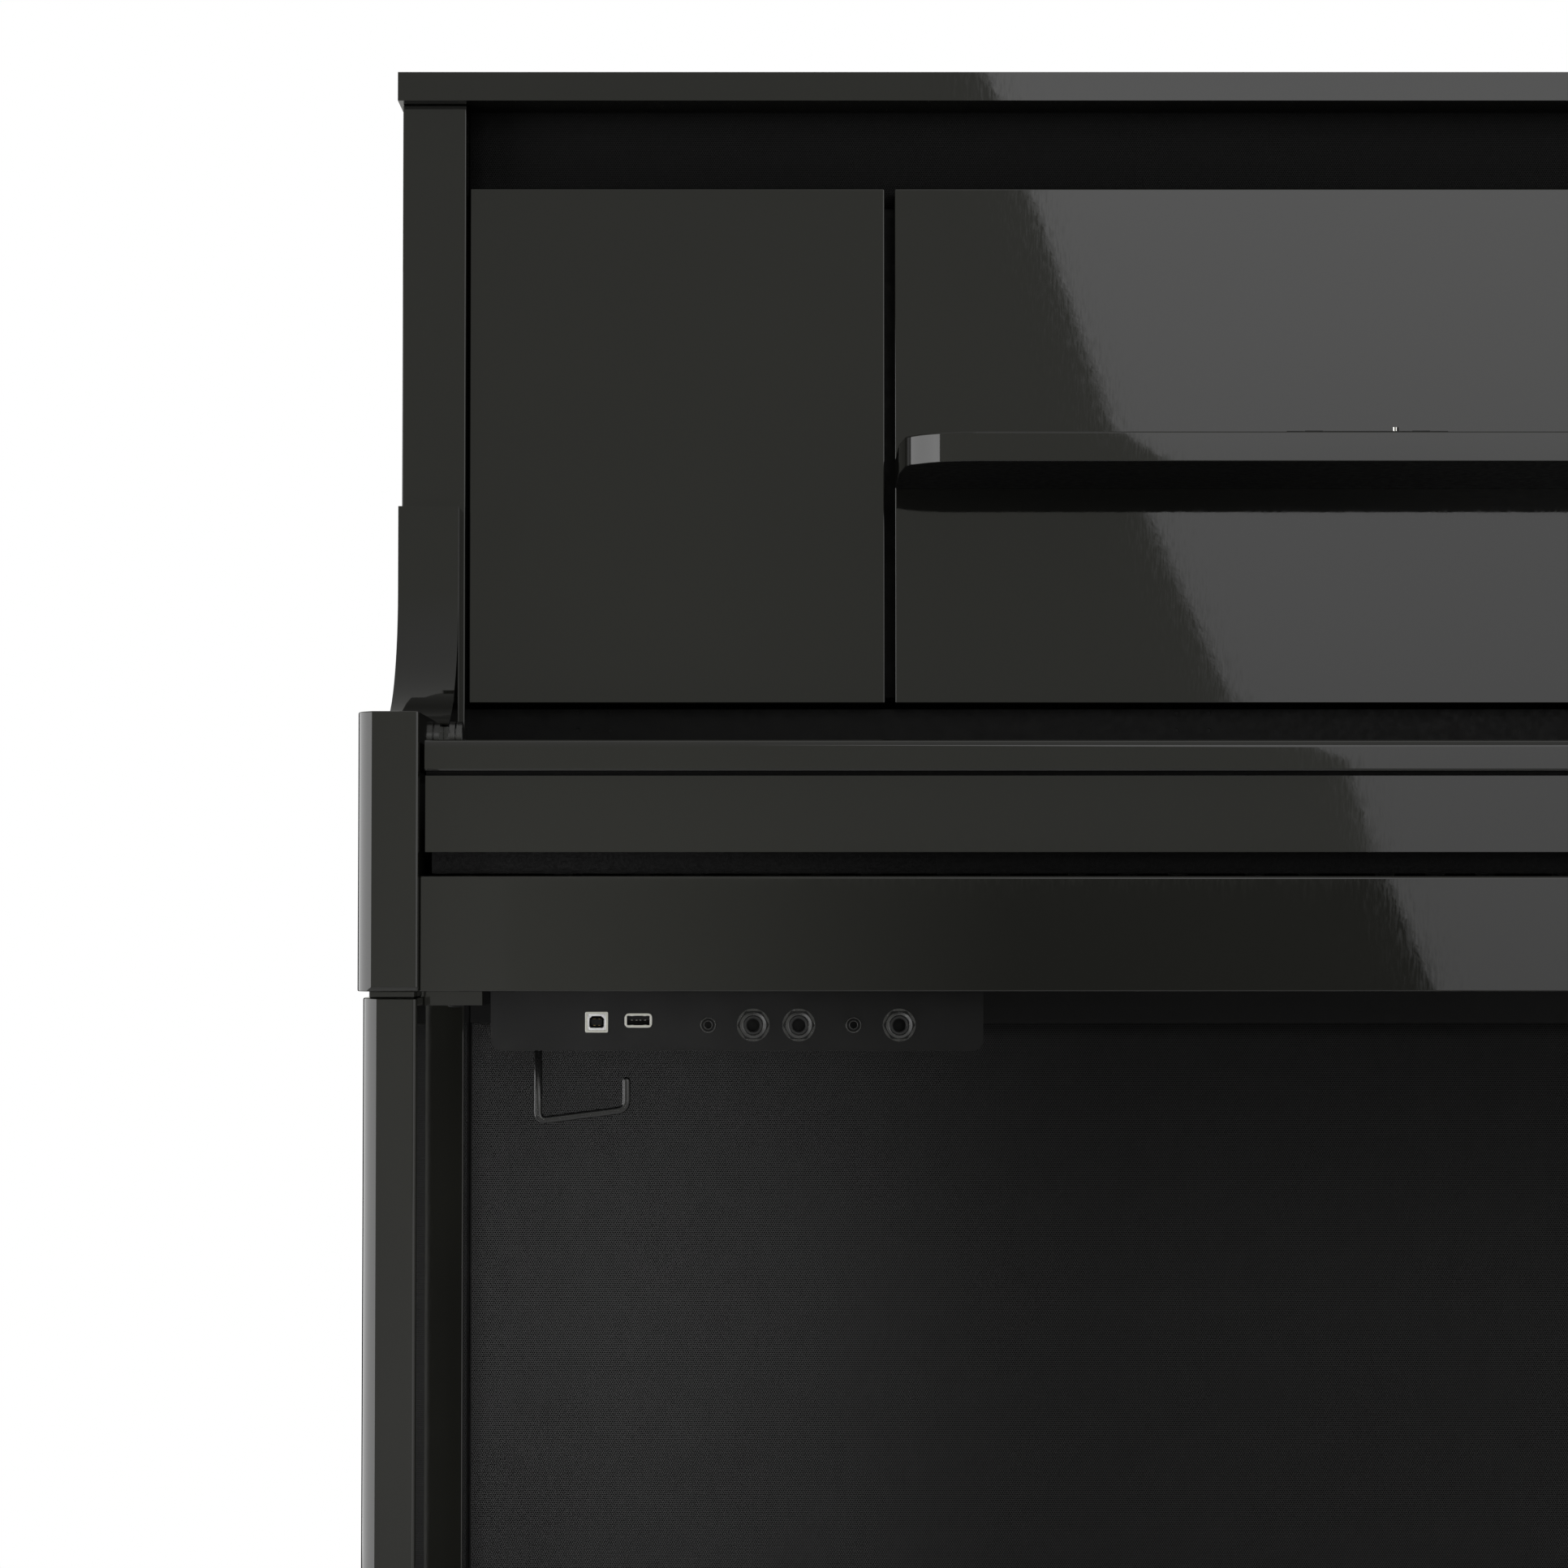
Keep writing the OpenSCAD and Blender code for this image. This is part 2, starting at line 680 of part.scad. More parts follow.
// Fallboard with its front flap. The rear part is narrower, to pass the pivot brackets.
module fallboard() {
  nose_r = 4;
  strip_y = -122;
  groove = 2.4;
  under = fall_z - fall_t;
  color(ebony) difference() {
    union() {
      side_profile(concat(
        [[fall_front + 1, under], [strip_y, under], [strip_y, fall_z]],
        [for (a = [90:10:180])
          [fall_front + nose_r + nose_r * cos(a), fall_z - nose_r + nose_r * sin(a)]],
        [[fall_front, under + 1]]), -fall_nose_x, fall_nose_x);
      block([-fall_core_x, strip_y - e, under], [fall_core_x, fall_back, fall_z]);
      block([-fall_nose_x, front_y + 10, flap_z], [fall_nose_x, front_y + 20, under - groove]);
      block([-fall_nose_x, front_y + 15, under - groove - e], [fall_nose_x, front_y + 20, under + e]);
    }
    for (s = [-1, 1])
      bar_x(s > 0 ? fall_core_x - 22 : -fall_core_x - 1, s > 0 ? fall_core_x + 1 : -fall_core_x + 22,
            pivot_y, pivot_z, pivot_bore_r);
  }
}

// Lugs on the ledge with the pins that the page holders turn on.
module page_holder_lugs() {
  color(steel) both_sides() {
    for (x = LUG_XS) block([x, HOLDER_Y - 1.8, ledge_z], [x + 10, HOLDER_Y + 1.8, HOLDER_Z + 1.7]);
    bar_x(HOLDER_X0 + 2, HOLDER_X1 - 2, HOLDER_Y, HOLDER_Z, 0.9);
  }
}

// A page holder: a folding clip near the front of the ledge, cut out around its two lugs.
module page_holder() {
  color(steel) difference() {
    union() {
      block([HOLDER_X0, HOLDER_Y, ledge_z + 0.6], [HOLDER_X1, HOLDER_Y + 15, ledge_z + 2]);
      bar_x(HOLDER_X0, HOLDER_X1, HOLDER_Y, HOLDER_Z, 1.7);
      translate([-124.3, HOLDER_Y + 11, ledge_z + 2 - e]) cylinder(r = 1.7, h = 5.2);
    }
    for (x = LUG_XS)
      block([x - 0.5, HOLDER_Y - 3, ledge_z], [x + 10.5, HOLDER_Y + 3, ledge_z + 5]);
    bar_x(HOLDER_X0 - 1, HOLDER_X1 + 1, HOLDER_Y, HOLDER_Z, 0.95);
  }
}

module page_holder_left() page_holder();
module page_holder_right() mirror([1, 0, 0]) page_holder();

// A pedal: rounded tip, slim neck, and an eye on the pivot rod.
module pedal(i) {
  tip_y = -72;
  tip_r = 13;
  z0 = pedal_z - 7;
  color(brass) translate([i * pedal_pitch, 0, 0]) difference() {
    union() {
      translate([0, 0, z0]) linear_extrude(7) {
        translate([0, tip_y + tip_r]) circle(r = tip_r);
        polygon([[-tip_r, tip_y + tip_r], [tip_r, tip_y + tip_r], [9, 20], [9, PEDAL_PIVOT_Y],
                 [-9, PEDAL_PIVOT_Y], [-9, 20]]);
      }
      bar_x(-9, 9, PEDAL_PIVOT_Y, PEDAL_PIVOT_Z + 8, 9);
      block([-9, PEDAL_PIVOT_Y - 10, z0], [9, PEDAL_PIVOT_Y, PEDAL_PIVOT_Z + 8]);
    }
    bar_x(-10, 10, PEDAL_PIVOT_Y, PEDAL_PIVOT_Z + 8, 4.06);
  }
}

module soft_pedal() pedal(-1);
module sostenuto_pedal() pedal(0);
module damper_pedal() pedal(1);

// ---------------------------------------------------------------- keys

function white_name(i) = WHITE_NAMES[i % 7];
function sharp_shift(name) = [for (s = SHARP_OFFSET) if (s[0] == name) s[1]];
function has_sharp(i) = len(sharp_shift(white_name(i))) > 0 && i < white_total - 1;
function white_x(i) = keys_x0 + i * key_pitch;
function sharp_x(i) = white_x(i + 1) + sharp_shift(white_name(i))[0];

// Tail of white key i lies between the sharps beside it.
function tail_x0(i) = i > 0 && has_sharp(i - 1) ? sharp_x(i - 1) + sharp_w / 2 + 1
                                                : white_x(i) + key_gap / 2;
function tail_x1(i) = has_sharp(i) ? sharp_x(i) - sharp_w / 2 - 1
                                   : white_x(i + 1) - key_gap / 2;

// The round notch under a key's tail that clips over the pivot rod.
module key_notch(x0, x1) {
  bar_x(x0 - 1, x1 + 1, key_axis_y, key_axis_z, key_notch_r);
}

module white_key(i) {
  z0 = key_z - 20;
  difference() {
    translate([0, 0, z0]) linear_extrude(20)
      polygon([[white_x(i) + key_gap / 2, key_front + 1.6],
               [white_x(i + 1) - key_gap / 2, key_front + 1.6],
               [white_x(i + 1) - key_gap / 2, key_front + key_head], [tail_x1(i), key_front + key_head],
               [tail_x1(i), key_tail_y], [tail_x0(i), key_tail_y],
               [tail_x0(i), key_front + key_head], [white_x(i) + key_gap / 2, key_front + key_head]]);
    key_notch(white_x(i), white_x(i + 1));
  }
}

module sharp_key(i) {
  x = sharp_x(i);
  difference() {
    side_profile([[sharp_front, key_z - 20], [key_tail_y, key_z - 20], [key_tail_y, key_z + 2],
                  [-72, key_z + 2], [-73, key_z + sharp_h], [sharp_front + 6, key_z + sharp_h],
                  [sharp_front + 0.5, key_z + sharp_h - 5]], x - sharp_w / 2, x + sharp_w / 2);
    key_notch(x - sharp_w / 2, x + sharp_w / 2);
  }
}

// Every white key of one name, and every sharp next to the white keys of one name.
module white_keys(name) {
  color(ivory) for (i = [0:white_total - 1]) if (white_name(i) == name) white_key(i);
}

module sharp_keys(name) {
  color(ebony) for (i = [0:white_total - 2]) if (white_name(i) == name && has_sharp(i)) sharp_key(i);
}

module keys_a() white_keys("a");
module keys_a_sharp() sharp_keys("a");
module keys_b() white_keys("b");
module keys_c() white_keys("c");
module keys_c_sharp() sharp_keys("c");
module keys_d() white_keys("d");
module keys_d_sharp() sharp_keys("d");
module keys_e() white_keys("e");
module keys_f() white_keys("f");
module keys_f_sharp() sharp_keys("f");
module keys_g() white_keys("g");
module keys_g_sharp() sharp_keys("g");

// ---------------------------------------------------------------- nodes

side_board_left();
side_board_right();
cheeks();
arm_left();
arm_right();
front_legs();
leg_brackets();
toe_blocks();
levelling_feet();
bottom_board();
bottom_rail();
back_panel();
lower_baffle();
lower_grille_cloth();
upper_baffle();
upper_grille_cloth();
upper_side_panels();
music_panel();
music_ledge();
key_bed();
key_slip();
key_blocks();
fallboard_rail();
fallboard_hardware();
control_panel();
jack_box();
sockets();
headphone_hook();
speakers();
main_board();
key_chassis();
pedal_box();
power_inlet();
lid_hinges();
top_lid();
lid_stay();
page_holder_lugs();
page_holder_left();
page_holder_right();
fallboard();
soft_pedal();
sostenuto_pedal();
damper_pedal();
keys_a();
keys_a_sharp();
keys_b();
keys_c();
keys_c_sharp();
keys_d();
keys_d_sharp();
keys_e();
keys_f();
keys_f_sharp();
keys_g();
keys_g_sharp();
power_button();
volume_knob();
tone_button();
metronome_button();
play_button();
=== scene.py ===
import json
import math

import bmesh
import bpy
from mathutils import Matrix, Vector


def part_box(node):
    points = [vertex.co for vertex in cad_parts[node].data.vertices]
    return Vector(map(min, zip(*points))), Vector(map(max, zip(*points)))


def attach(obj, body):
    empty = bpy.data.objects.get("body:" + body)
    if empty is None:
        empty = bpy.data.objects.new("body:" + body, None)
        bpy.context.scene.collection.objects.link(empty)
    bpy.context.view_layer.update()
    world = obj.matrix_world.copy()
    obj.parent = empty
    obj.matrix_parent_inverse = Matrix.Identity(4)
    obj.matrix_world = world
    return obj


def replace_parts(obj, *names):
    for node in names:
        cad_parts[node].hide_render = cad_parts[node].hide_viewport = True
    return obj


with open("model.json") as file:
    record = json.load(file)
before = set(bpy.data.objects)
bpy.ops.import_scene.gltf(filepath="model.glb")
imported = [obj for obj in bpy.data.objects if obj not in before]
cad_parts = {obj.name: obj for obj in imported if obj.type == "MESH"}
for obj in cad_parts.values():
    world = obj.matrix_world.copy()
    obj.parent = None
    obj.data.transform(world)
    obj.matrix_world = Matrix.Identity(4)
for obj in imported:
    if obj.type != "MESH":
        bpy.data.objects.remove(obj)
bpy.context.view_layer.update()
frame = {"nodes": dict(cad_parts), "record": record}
NODES = frame["nodes"]
SLOT_OF = {s["node"]: s["material_slot"] for s in frame["record"]["subparts"]}
scene = bpy.context.scene
scene.view_settings.view_transform = "Standard"
MM = 0.001
BOX_FACES = [(0, 2, 3, 1), (4, 5, 7, 6), (0, 1, 5, 4), (2, 6, 7, 3), (0, 4, 6, 2), (1, 3, 7, 5)]


# ------------------------------------------------------------------ shader helpers


def set_stops(ramp, stops):
    """Gives a colour ramp its (place, tone) stops; a tone is a colour or one grey level."""
    elements = ramp.color_ramp.elements
    while len(elements) < len(stops):
        elements.new(0.5)
    for element, (place, tone) in zip(elements, stops):
        element.position = place
        element.color = (*tone, 1) if isinstance(tone, tuple) else (tone, tone, tone, 1)


def set_range(node, *values):
    """Sets a map range node: from low, from high, to low, to high."""
    for socket, value in zip(node.inputs[1:], values):
        socket.default_value = value


class Shader:
    """A material's node tree, with short calls for the nodes this file uses."""

    def __init__(self, name, **sockets):
        self.mat = bpy.data.materials.new(name)
        self.mat.use_nodes = True
        self.tree = self.mat.node_tree
        self.bsdf = next(n for n in self.tree.nodes if n.type == "BSDF_PRINCIPLED")
        for key, value in sockets.items():
            self.set(key.replace("_", " "), value)
        self.coords = self.node("ShaderNodeTexCoord").outputs["Object"]

    def set(self, key, value):
        socket = next(s for s in self.bsdf.inputs if s.name.lower() == key.lower())
        socket.default_value = (*value, 1) if isinstance(value, tuple) else value

    def node(self, kind, **props):
        made = self.tree.nodes.new(kind)
        for key, value in props.items():
            setattr(made, key, value)
        return made

    def link(self, a, b):
        self.tree.links.new(a, b)

    def scaled(self, x, y, z):
        mapping = self.node("ShaderNodeMapping")
        mapping.inputs["Scale"].default_value = (x, y, z)
        self.link(self.coords, mapping.inputs["Vector"])
        return mapping.outputs["Vector"]

    def noise(self, scale, detail=3.0, roughness=0.55, vector=None):
        tex = self.node("ShaderNodeTexNoise")
        tex.inputs["Scale"].default_value = scale
        tex.inputs["Detail"].default_value = detail
        tex.inputs["Roughness"].default_value = roughness
        self.link(vector or self.coords, tex.inputs["Vector"])
        return tex.outputs["Fac"]

    def ramp(self, source, stops):
        made = self.node("ShaderNodeValToRGB")
        set_stops(made, stops)
        self.link(source, made.inputs["Fac"])
        return made.outputs["Color"]

    def math(self, operation, a, b=0.0):
        made = self.node("ShaderNodeMath", operation=operation)
        for socket, value in zip(made.inputs, (a, b)):
            if isinstance(value, (int, float)):
                socket.default_value = value
            else:
                self.link(value, socket)
        return made.outputs[0]

    def bump(self, height, strength, distance):
        made = self.node("ShaderNodeBump")
        made.inputs["Strength"].default_value = strength
        made.inputs["Distance"].default_value = distance
        self.link(height, made.inputs["Height"])
        self.link(made.outputs["Normal"], self.bsdf.inputs["Normal"])

    def colour(self, source):
        self.link(source, self.bsdf.inputs["Base Color"])

    def rough(self, source):
        self.link(source, self.bsdf.inputs["Roughness"])


def lacquer():
    """Polished ebony: a nearly black base, a faint orange peel and hairline swirls."""
    s = Shader("lacquer", Specular_IOR_Level=0.5)
    tones = [(0.3, (0.0030, 0.0030, 0.0026)), (0.7, (0.0048, 0.0048, 0.0040))]
    s.colour(s.ramp(s.noise(3.5, 4), tones))
    s.rough(s.ramp(s.noise(900, 2, vector=s.scaled(1, 1, 0.15)), [(0.35, 0.018), (0.8, 0.075)]))
    s.bump(s.noise(160, 2), 0.012, 0.0004)
    return s.mat


def satin_board(name, tone, gloss):
    """Black-painted board: fine paint grain over a faint wood grain."""
    s = Shader(name, Specular_IOR_Level=gloss)
    grain = s.noise(30, 5, vector=s.scaled(0.12, 1, 1))
    s.colour(s.ramp(grain, [(0.25, (tone * 0.75,) * 3), (0.75, (tone * 1.3,) * 3)]))
    s.rough(s.ramp(s.noise(260, 3), [(0.3, 0.42), (0.7, 0.58)]))
    s.bump(s.noise(1400, 3), 0.16, 0.0002)
    return s.mat


def fibreboard():
    """Hardboard: pressed brown-black fibres with a waxy skin."""
    s = Shader("fibreboard", Specular_IOR_Level=0.25)
    fibres = s.noise(240, 6, 0.7, s.scaled(1, 1, 0.35))
    tones = [(0.3, (0.018, 0.016, 0.014)), (0.55, (0.030, 0.027, 0.024)), (0.75, (0.048, 0.043, 0.037))]
    s.colour(s.ramp(fibres, tones))
    s.rough(s.ramp(s.noise(90, 4), [(0.3, 0.5), (0.7, 0.68)]))
    s.bump(fibres, 0.3, 0.0002)
    return s.mat


def powder_coat(name, tone, rough=0.5, gloss=0.2, pebble=0.22):
    """Powder-coated or moulded black: a pebbled skin with slightly worn high spots."""
    s = Shader(name, Specular_IOR_Level=gloss)
    s.colour(s.ramp(s.noise(45, 4), [(0.3, (tone * 0.85,) * 3), (0.72, (tone * 1.2,) * 3)]))
    s.rough(s.ramp(s.noise(600, 3), [(0.3, rough - 0.08), (0.7, rough + 0.1)]))
    s.bump(s.noise(2600, 2), pebble, 0.00012)
    return s.mat


def metal(name, tint, rough, stretch=(1, 1, 1), scale=500, bump=0.05):
    """Metal with fine drawn lines and slightly uneven polish."""
    s = Shader(name, Metallic=1.0)
    low = tuple(c * 0.86 for c in tint)
    s.colour(s.ramp(s.noise(18, 4), [(0.3, low), (0.7, tint)]))
    lines = s.noise(scale, 3, vector=s.scaled(*stretch))
    s.rough(s.ramp(lines, [(0.3, max(0.03, rough - 0.07)), (0.7, rough + 0.08)]))
    s.bump(lines, bump, 0.0001)
    return s.mat


def plated(name, tint, rough):
    """Plating: metal with an even, very fine skin."""
    return metal(name, tint, rough, (1, 1, 1), 900, 0.03)


def woven(name, dark, light, pitch):
    """Speaker cloth: round dark holes, placed like the cells of a honeycomb, between paler yarns."""
    s = Shader(name, Roughness=0.82, Specular_IOR_Level=0.08, Sheen_Weight=0.03, Sheen_Roughness=0.5)
    waves = None
    for degrees in (30, 90, 150):
        k = 2 * math.pi / (pitch * math.cos(math.radians(30)))
        a = math.radians(degrees)
        dot = s.node("ShaderNodeVectorMath", operation="DOT_PRODUCT")
        dot.inputs[1].default_value = (k * math.cos(a), 0, k * math.sin(a))
        s.link(s.coords, dot.inputs[0])
        wave = s.math("COSINE", dot.outputs["Value"])
        waves = wave if waves is None else s.math("ADD", waves, wave)
    lattice = s.math("MULTIPLY", s.math("ADD", waves, 1.5), 1 / 4.5)
    uneven = s.math("MULTIPLY", s.noise(70, 4), 0.16)
    hole = s.math("SUBTRACT", s.math("ADD", lattice, 0.04), uneven)
    s.colour(s.ramp(hole, [(0.10, light), (0.30, tuple(c * 0.7 for c in light)), (0.52, dark)]))
    s.bump(s.math("SUBTRACT", 1.0, hole), 0.55, 0.0004)
    return s.mat


def ivory():
    """White key tops: warm white with faint lengthwise lines under a thin clear coat."""
    s = Shader("white_key_top", Coat_Weight=0.25, Coat_Roughness=0.08, Subsurface_Weight=0.05)
    s.colour(s.ramp(s.noise(9, 5), [(0.3, (0.80, 0.78, 0.71)), (0.7, (0.87, 0.85, 0.79))]))
    s.rough(s.ramp(s.noise(420, 3, vector=s.scaled(6, 0.4, 1)), [(0.3, 0.2), (0.7, 0.34)]))
    s.bump(s.noise(900, 2, vector=s.scaled(4, 0.3, 1)), 0.04, 0.0001)
    return s.mat


def sharp_black():
    """Sharp tops: black with an open grain along the key."""
    s = Shader("sharp_key_top")
    grain = s.noise(60, 5, vector=s.scaled(3, 0.2, 3))
    s.colour(s.ramp(grain, [(0.3, (0.006,) * 3), (0.75, (0.016, 0.015, 0.014))]))
    s.rough(s.ramp(s.noise(500, 3, vector=s.scaled(4, 0.3, 4)), [(0.3, 0.3), (0.7, 0.46)]))
    s.bump(s.noise(700, 3, vector=s.scaled(4, 0.2, 4)), 0.12, 0.0002)
    return s.mat


def felt(name, low, high, sheen=0.5):
    """Matted fibres with a soft sheen."""
    s = Shader(name, Roughness=0.95, Specular_IOR_Level=0.1, Sheen_Weight=sheen, Sheen_Roughness=0.5)
    s.colour(s.ramp(s.noise(700, 6), [(0.3, low), (0.7, high)]))
    s.bump(s.noise(2400, 5), 0.5, 0.0006)
    return s.mat


def circuit():
    """Green board with paler tracks."""
    s = Shader("circuit_board", Coat_Weight=0.3)
    tracks = s.node("ShaderNodeTexBrick")
    tracks.inputs["Scale"].default_value = 90
    tracks.inputs["Color1"].default_value = (0.012, 0.09, 0.035, 1)
    tracks.inputs["Color2"].default_value = (0.018, 0.12, 0.05, 1)
    tracks.inputs["Mortar"].default_value = (0.03, 0.2, 0.08, 1)
    s.link(s.coords, tracks.inputs["Vector"])
    s.colour(tracks.outputs["Color"])
    s.rough(s.ramp(s.noise(300, 3), [(0.3, 0.3), (0.7, 0.5)]))
    s.bump(tracks.outputs["Fac"], 0.1, 0.0002)
    return s.mat


def display_glass():
    """Dark window over the display."""
    s = Shader("display_glass", Coat_Weight=1.0, Coat_Roughness=0.02)
    s.colour(s.ramp(s.noise(20, 3), [(0.3, (0.004, 0.006, 0.008)), (0.7, (0.008, 0.011, 0.014))]))
    s.rough(s.ramp(s.noise(200, 2), [(0.3, 0.05), (0.7, 0.12)]))
    return s.mat


def pale_mark():
    """Printed marks on the buttons."""
    s = Shader("printed_mark")
    s.colour(s.ramp(s.noise(900, 3), [(0.3, (0.5, 0.5, 0.5)), (0.7, (0.68, 0.68, 0.67))]))
    s.rough(s.ramp(s.noise(500, 2), [(0.3, 0.4), (0.7, 0.6)]))
    return s.mat


WEAVE = 1.33 * MM  # distance between the holes of the speaker cloth
MAT = {
    "ebony_lacquer": lacquer(),
    "black_board": satin_board("black_board", 0.0045, 0.12),
    "black_metal": powder_coat("black_metal", 0.0045, 0.4, 0.13),
    "black_plastic": powder_coat("black_plastic", 0.007, 0.46, 0.3),
    "steel": metal("zinc_steel", (0.36, 0.36, 0.365), 0.34, (0.1, 1, 1)),
    "nickel": plated("nickel", (0.82, 0.81, 0.78), 0.14),
    "brass": metal("brass", (0.86, 0.60, 0.24), 0.17, (1, 0.08, 1), 700),
    "grille_cloth": woven("grille_cloth", (0.0006,) * 3, (0.023, 0.023, 0.023), WEAVE),
    "circuit_board": circuit(),
    "white_key": ivory(),
    "sharp_key": sharp_black(),
}
GOLD = plated("gold_contact", (0.95, 0.72, 0.32), 0.2)
RUBBER = powder_coat("rubber", 0.012, 0.72)
INSERT = powder_coat("socket_insert", 0.003, 0.5, 0.12)
RED_FELT = felt("red_felt", (0.09, 0.008, 0.009), (0.17, 0.016, 0.018))
# Near-black felt with almost no sheen; under the flap it is also painted shade standing for the dark gap.
DARK_FELT = felt("dark_felt", (0.002, 0.002, 0.002), (0.007, 0.007, 0.007), 0.04)
GLASS = display_glass()
MARK = pale_mark()
PALE = powder_coat("pale_insert", 0.24, 0.4, 0.4)
NUT = powder_coat("jack_nut", 0.005, 0.24, 0.85, 0.08)
HOOK_COAT = powder_coat("hook_coat", 0.003, 0.22, 0.55, 0.04)
# Same weave as the lower cloth with darker tones: painted shade on the upper band under the lid's overhang.
SHADE_PAINTED_CLOTH = woven("shade_painted_band_cloth", (0.0004,) * 3, (0.012, 0.012, 0.012), WEAVE)
DARK_STEEL = metal("dark_steel", (0.085, 0.085, 0.085), 0.26, bump=0.01)
FIBREBOARD = fibreboard()
CONE_PAPER = felt("cone_paper", (0.006, 0.006, 0.006), (0.014, 0.014, 0.013))


# ------------------------------------------------------------------ mesh helpers


def round_edges(obj, width, segments=3, angle=32):
    """Rounds an object's sharp edges, and keeps its large faces flat."""
    for polygon in obj.data.polygons:
        polygon.use_smooth = True
    weld = obj.modifiers.new("weld", "WELD")
    weld.merge_threshold = 2e-6
    flat = obj.modifiers.new("flat", "DECIMATE")
    flat.decimate_type = "DISSOLVE"
    flat.angle_limit = math.radians(0.4)
    bevel = obj.modifiers.new("bevel", "BEVEL")
    bevel.width = width
    bevel.segments = segments
    bevel.limit_method = "ANGLE"
    bevel.angle_limit = math.radians(angle)
    bevel.harden_normals = False
    normals = obj.modifiers.new("normals", "WEIGHTED_NORMAL")
    normals.keep_sharp = False


def tube_faces(rings, count, capped=True):
    """Faces that join rings of count points each, with both ends closed."""
    faces = []
    for k in range(rings - 1):
        for i in range(count):
            j = (i + 1) % count
            faces.append((k * count + i, k * count + j, (k + 1) * count + j, (k + 1) * count + i))
    if capped:
        last = (rings - 1) * count
        faces += [tuple(range(count))[::-1], tuple(last + i for i in range(count))]
    return faces


def make(name, verts, faces, material, body="cabinet", smooth=False):
    """A new piece from points and faces, riding on a body."""
    mesh = bpy.data.meshes.new(name)
    mesh.from_pydata([tuple(v) for v in verts], [], faces)
    mesh.validate()
    bm = bmesh.new()
    bm.from_mesh(mesh)
    bmesh.ops.remove_doubles(bm, verts=bm.verts, dist=1e-7)
    bmesh.ops.recalc_face_normals(bm, faces=bm.faces)
    bm.to_mesh(mesh)
    bm.free()
    for polygon in mesh.polygons:
        polygon.use_smooth = smooth
    obj = bpy.data.objects.new(name, mesh)
    scene.collection.objects.link(obj)
    mesh.materials.append(material)
    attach(obj, body)
    return obj


class Parts:
    """Collects simple solids into one mesh, each with its own material."""

    def __init__(self):
        self.verts, self.faces, self.mats, self.index = [], [], [], []

    def add(self, verts, faces, material):
        base = len(self.verts)
        self.verts += [Vector(v) for v in verts]
        self.faces += [[base + i for i in f] for f in faces]
        if material not in self.mats:
            self.mats.append(material)
        self.index += [self.mats.index(material)] * len(faces)

    def box(self, lo, hi, material):
        (x0, y0, z0), (x1, y1, z1) = lo, hi
        v = [(x, y, z) for z in (z0, z1) for y in (y0, y1) for x in (x0, x1)]
        self.add(v, BOX_FACES, material)

    def slab(self, cx, cz, w, h, y0, y1, material):
        """A box w wide and h high about (cx, cz), from y0 to y1."""
        self.box((cx - w / 2, y0, cz - h / 2), (cx + w / 2, y1, cz + h / 2), material)

    def prism(self, outline, y0, y1, material, hole=None):
        """An outline of (x, z) points made y0 to y1 deep, with an optional hole of as many points."""
        n = len(outline)
        v = [(x, y0, z) for x, z in outline] + [(x, y1, z) for x, z in outline]
        f = [(i, (i + 1) % n, n + (i + 1) % n, n + i) for i in range(n)]
        if hole is None:
            f += [tuple(range(n))[::-1], tuple(range(n, 2 * n))]
        else:
            v += [(x, y0, z) for x, z in hole] + [(x, y1, z) for x, z in hole]
            for i in range(n):
                j = (i + 1) % n
                f += [
                    (2 * n + i, 3 * n + i, 3 * n + j, 2 * n + j),
                    (i, 2 * n + i, 2 * n + j, j),
                    (n + i, n + j, 3 * n + j, 3 * n + i),
                ]
        self.add(v, f, material)

    def lathe(self, profile, centre, axis, material, count=40):
        """A profile of (radius, distance) turned about an axis. An open profile gets end caps."""
        turn = Vector((0, 0, 1)).rotation_difference(Vector(axis)).to_matrix()
        v = []
        for r, h in profile:
            for i in range(count):
                a = 2 * math.pi * i / count
                v.append(turn @ Vector((r * math.cos(a), r * math.sin(a), h)) + Vector(centre))
        self.add(v, tube_faces(len(profile), count, profile[0] != profile[-1]), material)

    def build(self, name, body="cabinet", slot=None, bevel=None, segments=2, angle=32):
        """Makes the collected solids into one piece."""
        obj = make(name, self.verts, self.faces, self.mats[0], body)
        for material in self.mats[1:]:
            obj.data.materials.append(material)
        for polygon, i in zip(obj.data.polygons, self.index):
            polygon.material_index = i
        if bevel:
            round_edges(obj, bevel, segments, angle)
        return obj


def rounded_rect(cx, cz, w, h, r, steps=6):
    """Outline of a rounded rectangle, as (x, z) points."""
    out = []
    for sx, sz, start in ((1, 1, 0), (-1, 1, 90), (-1, -1, 180), (1, -1, 270)):
        for i in range(steps + 1):
            a = math.radians(start + 90 * i / steps)
            x, z = cx + sx * (w / 2 - r), cz + sz * (h / 2 - r)
            out.append((x + r * math.cos(a), z + r * math.sin(a)))
    return out


def circle(cx, cz, r, count):
    angles = [2 * math.pi * i / count for i in range(count)]
    return [(cx + r * math.cos(a), cz + r * math.sin(a)) for a in angles]


def hexagon(cx, cz, r, count=30):
    """A hexagon 2r across its corners, with as many points as a circle that can be its hole."""
    out = []
    half = math.radians(30)
    for i in range(count):
        a = 2 * math.pi * i / count
        d = r * math.cos(half) / math.cos(a % (2 * half) - half)
        out.append((cx + d * math.cos(a), cz + d * math.sin(a)))
    return out


